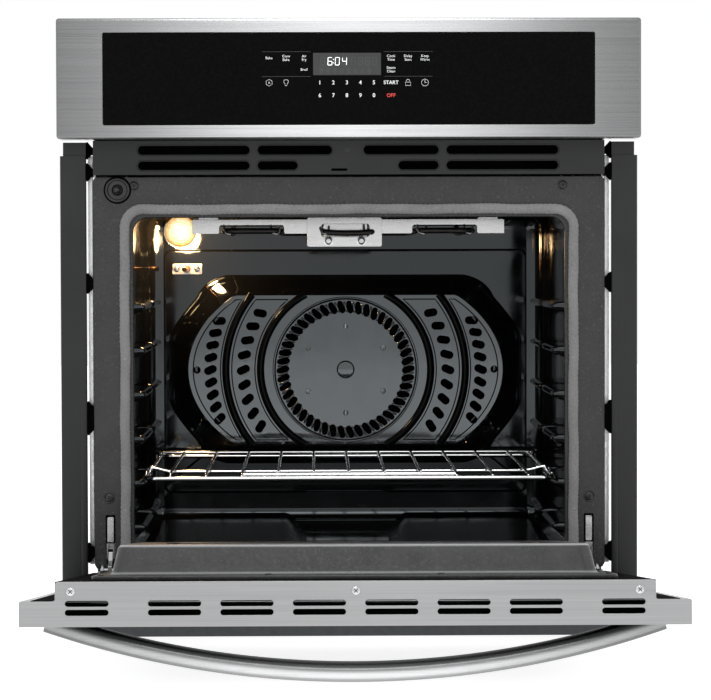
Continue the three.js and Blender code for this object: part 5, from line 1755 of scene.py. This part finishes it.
def coil(b, start, end, radius, wire, turns, steps=14):
    """A spring wound between two points."""
    p, q = Vector(start), Vector(end)
    axis = (q - p).normalized()
    side = axis.orthogonal().normalized()
    other = axis.cross(side)
    count = turns * steps
    b.tube([p + (q - p) * (k / count) + side * (radius * math.cos(2 * math.pi * k / steps))
            + other * (radius * math.sin(2 * math.pi * k / steps)) for k in range(count + 1)], wire, 8)


def door_springs():
    for side, sign in (("left", -1), ("right", 1)):
        b = Build()
        coil(b, (sign * 284.8, -13, 62), (sign * 284.8, -13, 198), 3.5, 0.85, 52)
        b.tube([(sign * 284.8, -13, 58), (sign * 284.8, -13, 202)], 1.4, 12)
        on_door(b).done(f"spring_{side}", "spring", "door", "spring_steel", [f"hinge_spring_{side}"], 60)


# ---- Rack ------------------------------------------------------------------------------------
def oven_rack():
    rail, wire, half = 184.4, 189.4, 246.5
    front, back, pitch = 35.0, 446.0, 43.1
    b = Build()
    loop = [(x, y, rail) for x, y in rect(-half, half, front, back, 16, 8, 24)]
    b.tube(loop, 3.0, 16, False, True)
    b.tube([(-half + 3, back - 5, rail + 5.2), (half - 3, back - 5, rail + 5.2)], 2.4, 14)
    b.tube([(-127, front + 6, wire - 0.6), (127, front + 6, wire - 0.6)], 2.4, 14)
    ends, cross_y = half - 1, 165.0
    line = []
    for k in range(61):
        x = -ends + 2 * ends * k / 60
        drop = 5.2 * smooth(0, 1, (ends - abs(x)) / 26)
        line.append((x, cross_y, rail + 3.6 - drop + 0.8))
    b.tube(line, 2.4, 14)
    for i in range(-5, 6):
        x = i * pitch
        inner = abs(i) <= 2
        begin = front + (5.0 if inner else 0.5)
        rise = rail + (7.4 if inner else 3.0)
        line = [(x, begin, rise), (x, begin + 5, wire + 1.2 if inner else wire - 0.2), (x, begin + 14, wire)]
        line += [(x, begin + 14 + (back - 20 - begin) * k / 10, wire) for k in range(1, 10)]
        line += [(x, back - 8, wire + 0.4), (x, back - 1, rail + 3.0)]
        b.tube(line, 2.0, 12)
    for x in (-half, half):
        for y in (front + 40, back - 60):
            b.tube([(x, y, rail + 2.2), (x, y + 12, rail + 6.0), (x, y + 30, rail + 6.0),
                    (x, y + 42, rail + 2.2)], 2.2, 12)
    b.done("rack_wires", "chrome", "rack", "chrome_wire", ["oven_rack"], 60)


# ---- Outside of the chassis ------------------------------------------------------------------
BACK_Y, SIDE_X, TOP_Z = 585.0, 302.0, 722.0
CASE_SCREW = (4.2, 2.2)


def bead(b, u0, u1, middle, put):
    """A pressed bead 18 mm wide: put(u, v, h) places a point of the sheet, raised by h."""
    rings = []
    for grow, out in ((0, -0.3), (-0.6, 0.5), (-2.2, 1.0), (-4.5, 1.15)):
        rings.append([put(u, v, out) for u, v in rect(u0 - grow, u1 + grow, middle - 9 - grow,
                                                      middle + 9 + grow, 8 + grow, 8, 4)])
    b.skin(rings, (False, True))


def chassis_screws():
    screws = Build()
    spots = [(x, z) for z in (60, 210, 360, 510, 660) for x in (-285, 285)]
    spots += [(x, z) for x in (-200, -70, 70, 200) for z in (12, 706)]
    for x, z in spots:
        screw_head(screws, facing((x, BACK_Y + 0.1, z), "+Y"), *CASE_SCREW)
    spots = [(y, 702) for y in (40, 200, 380, 560)] + [(y, z) for z in (120, 330, 560) for y in (30, 565)]
    for sign, way in ((-1, "-X"), (1, "+X")):
        for y, z in spots:
            screw_head(screws, facing((sign * (SIDE_X + 0.1), y, z), way), *CASE_SCREW)
    for x in (-250, 0, 250):
        for y in (30, 545):
            screw_head(screws, facing((x, y, TOP_Z + 0.1), "+Z"), *CASE_SCREW)
    screws.done("chassis_screws", "screw", "chassis", "zinc")


def panel_beads():
    beads = Build()
    for sign in (-1, 1):
        for z in (180, 460):
            bead(beads, 110, 500, z, lambda u, v, h, s=sign: (s * (SIDE_X + h), u, v))
    for z in (200, 430):
        for x0, x1 in ((-235, -80), (80, 235)):
            bead(beads, x0, x1, z, lambda u, v, h: (u, BACK_Y + h, v))
    for y in (140, 440):
        bead(beads, -210, 210, y, lambda u, v, h: (u, v, TOP_Z + h))
    beads.done("panel_beads", "zinc", "chassis", "zinc")


cavity_liner()
cavity_floor()
fan_cover_band()
fan_cover_face()
fan_cover_stampings()
fan_cover_grille()
fan_cover_louvres()
lamp()
sensor()
broil_element()
broil_bracket()
door_skin()
door_cap()
door_shade_sheets()
door_cap_screws()
door_liner()
door_handle()
door_springs()
oven_rack()
chassis_screws()
panel_beads()
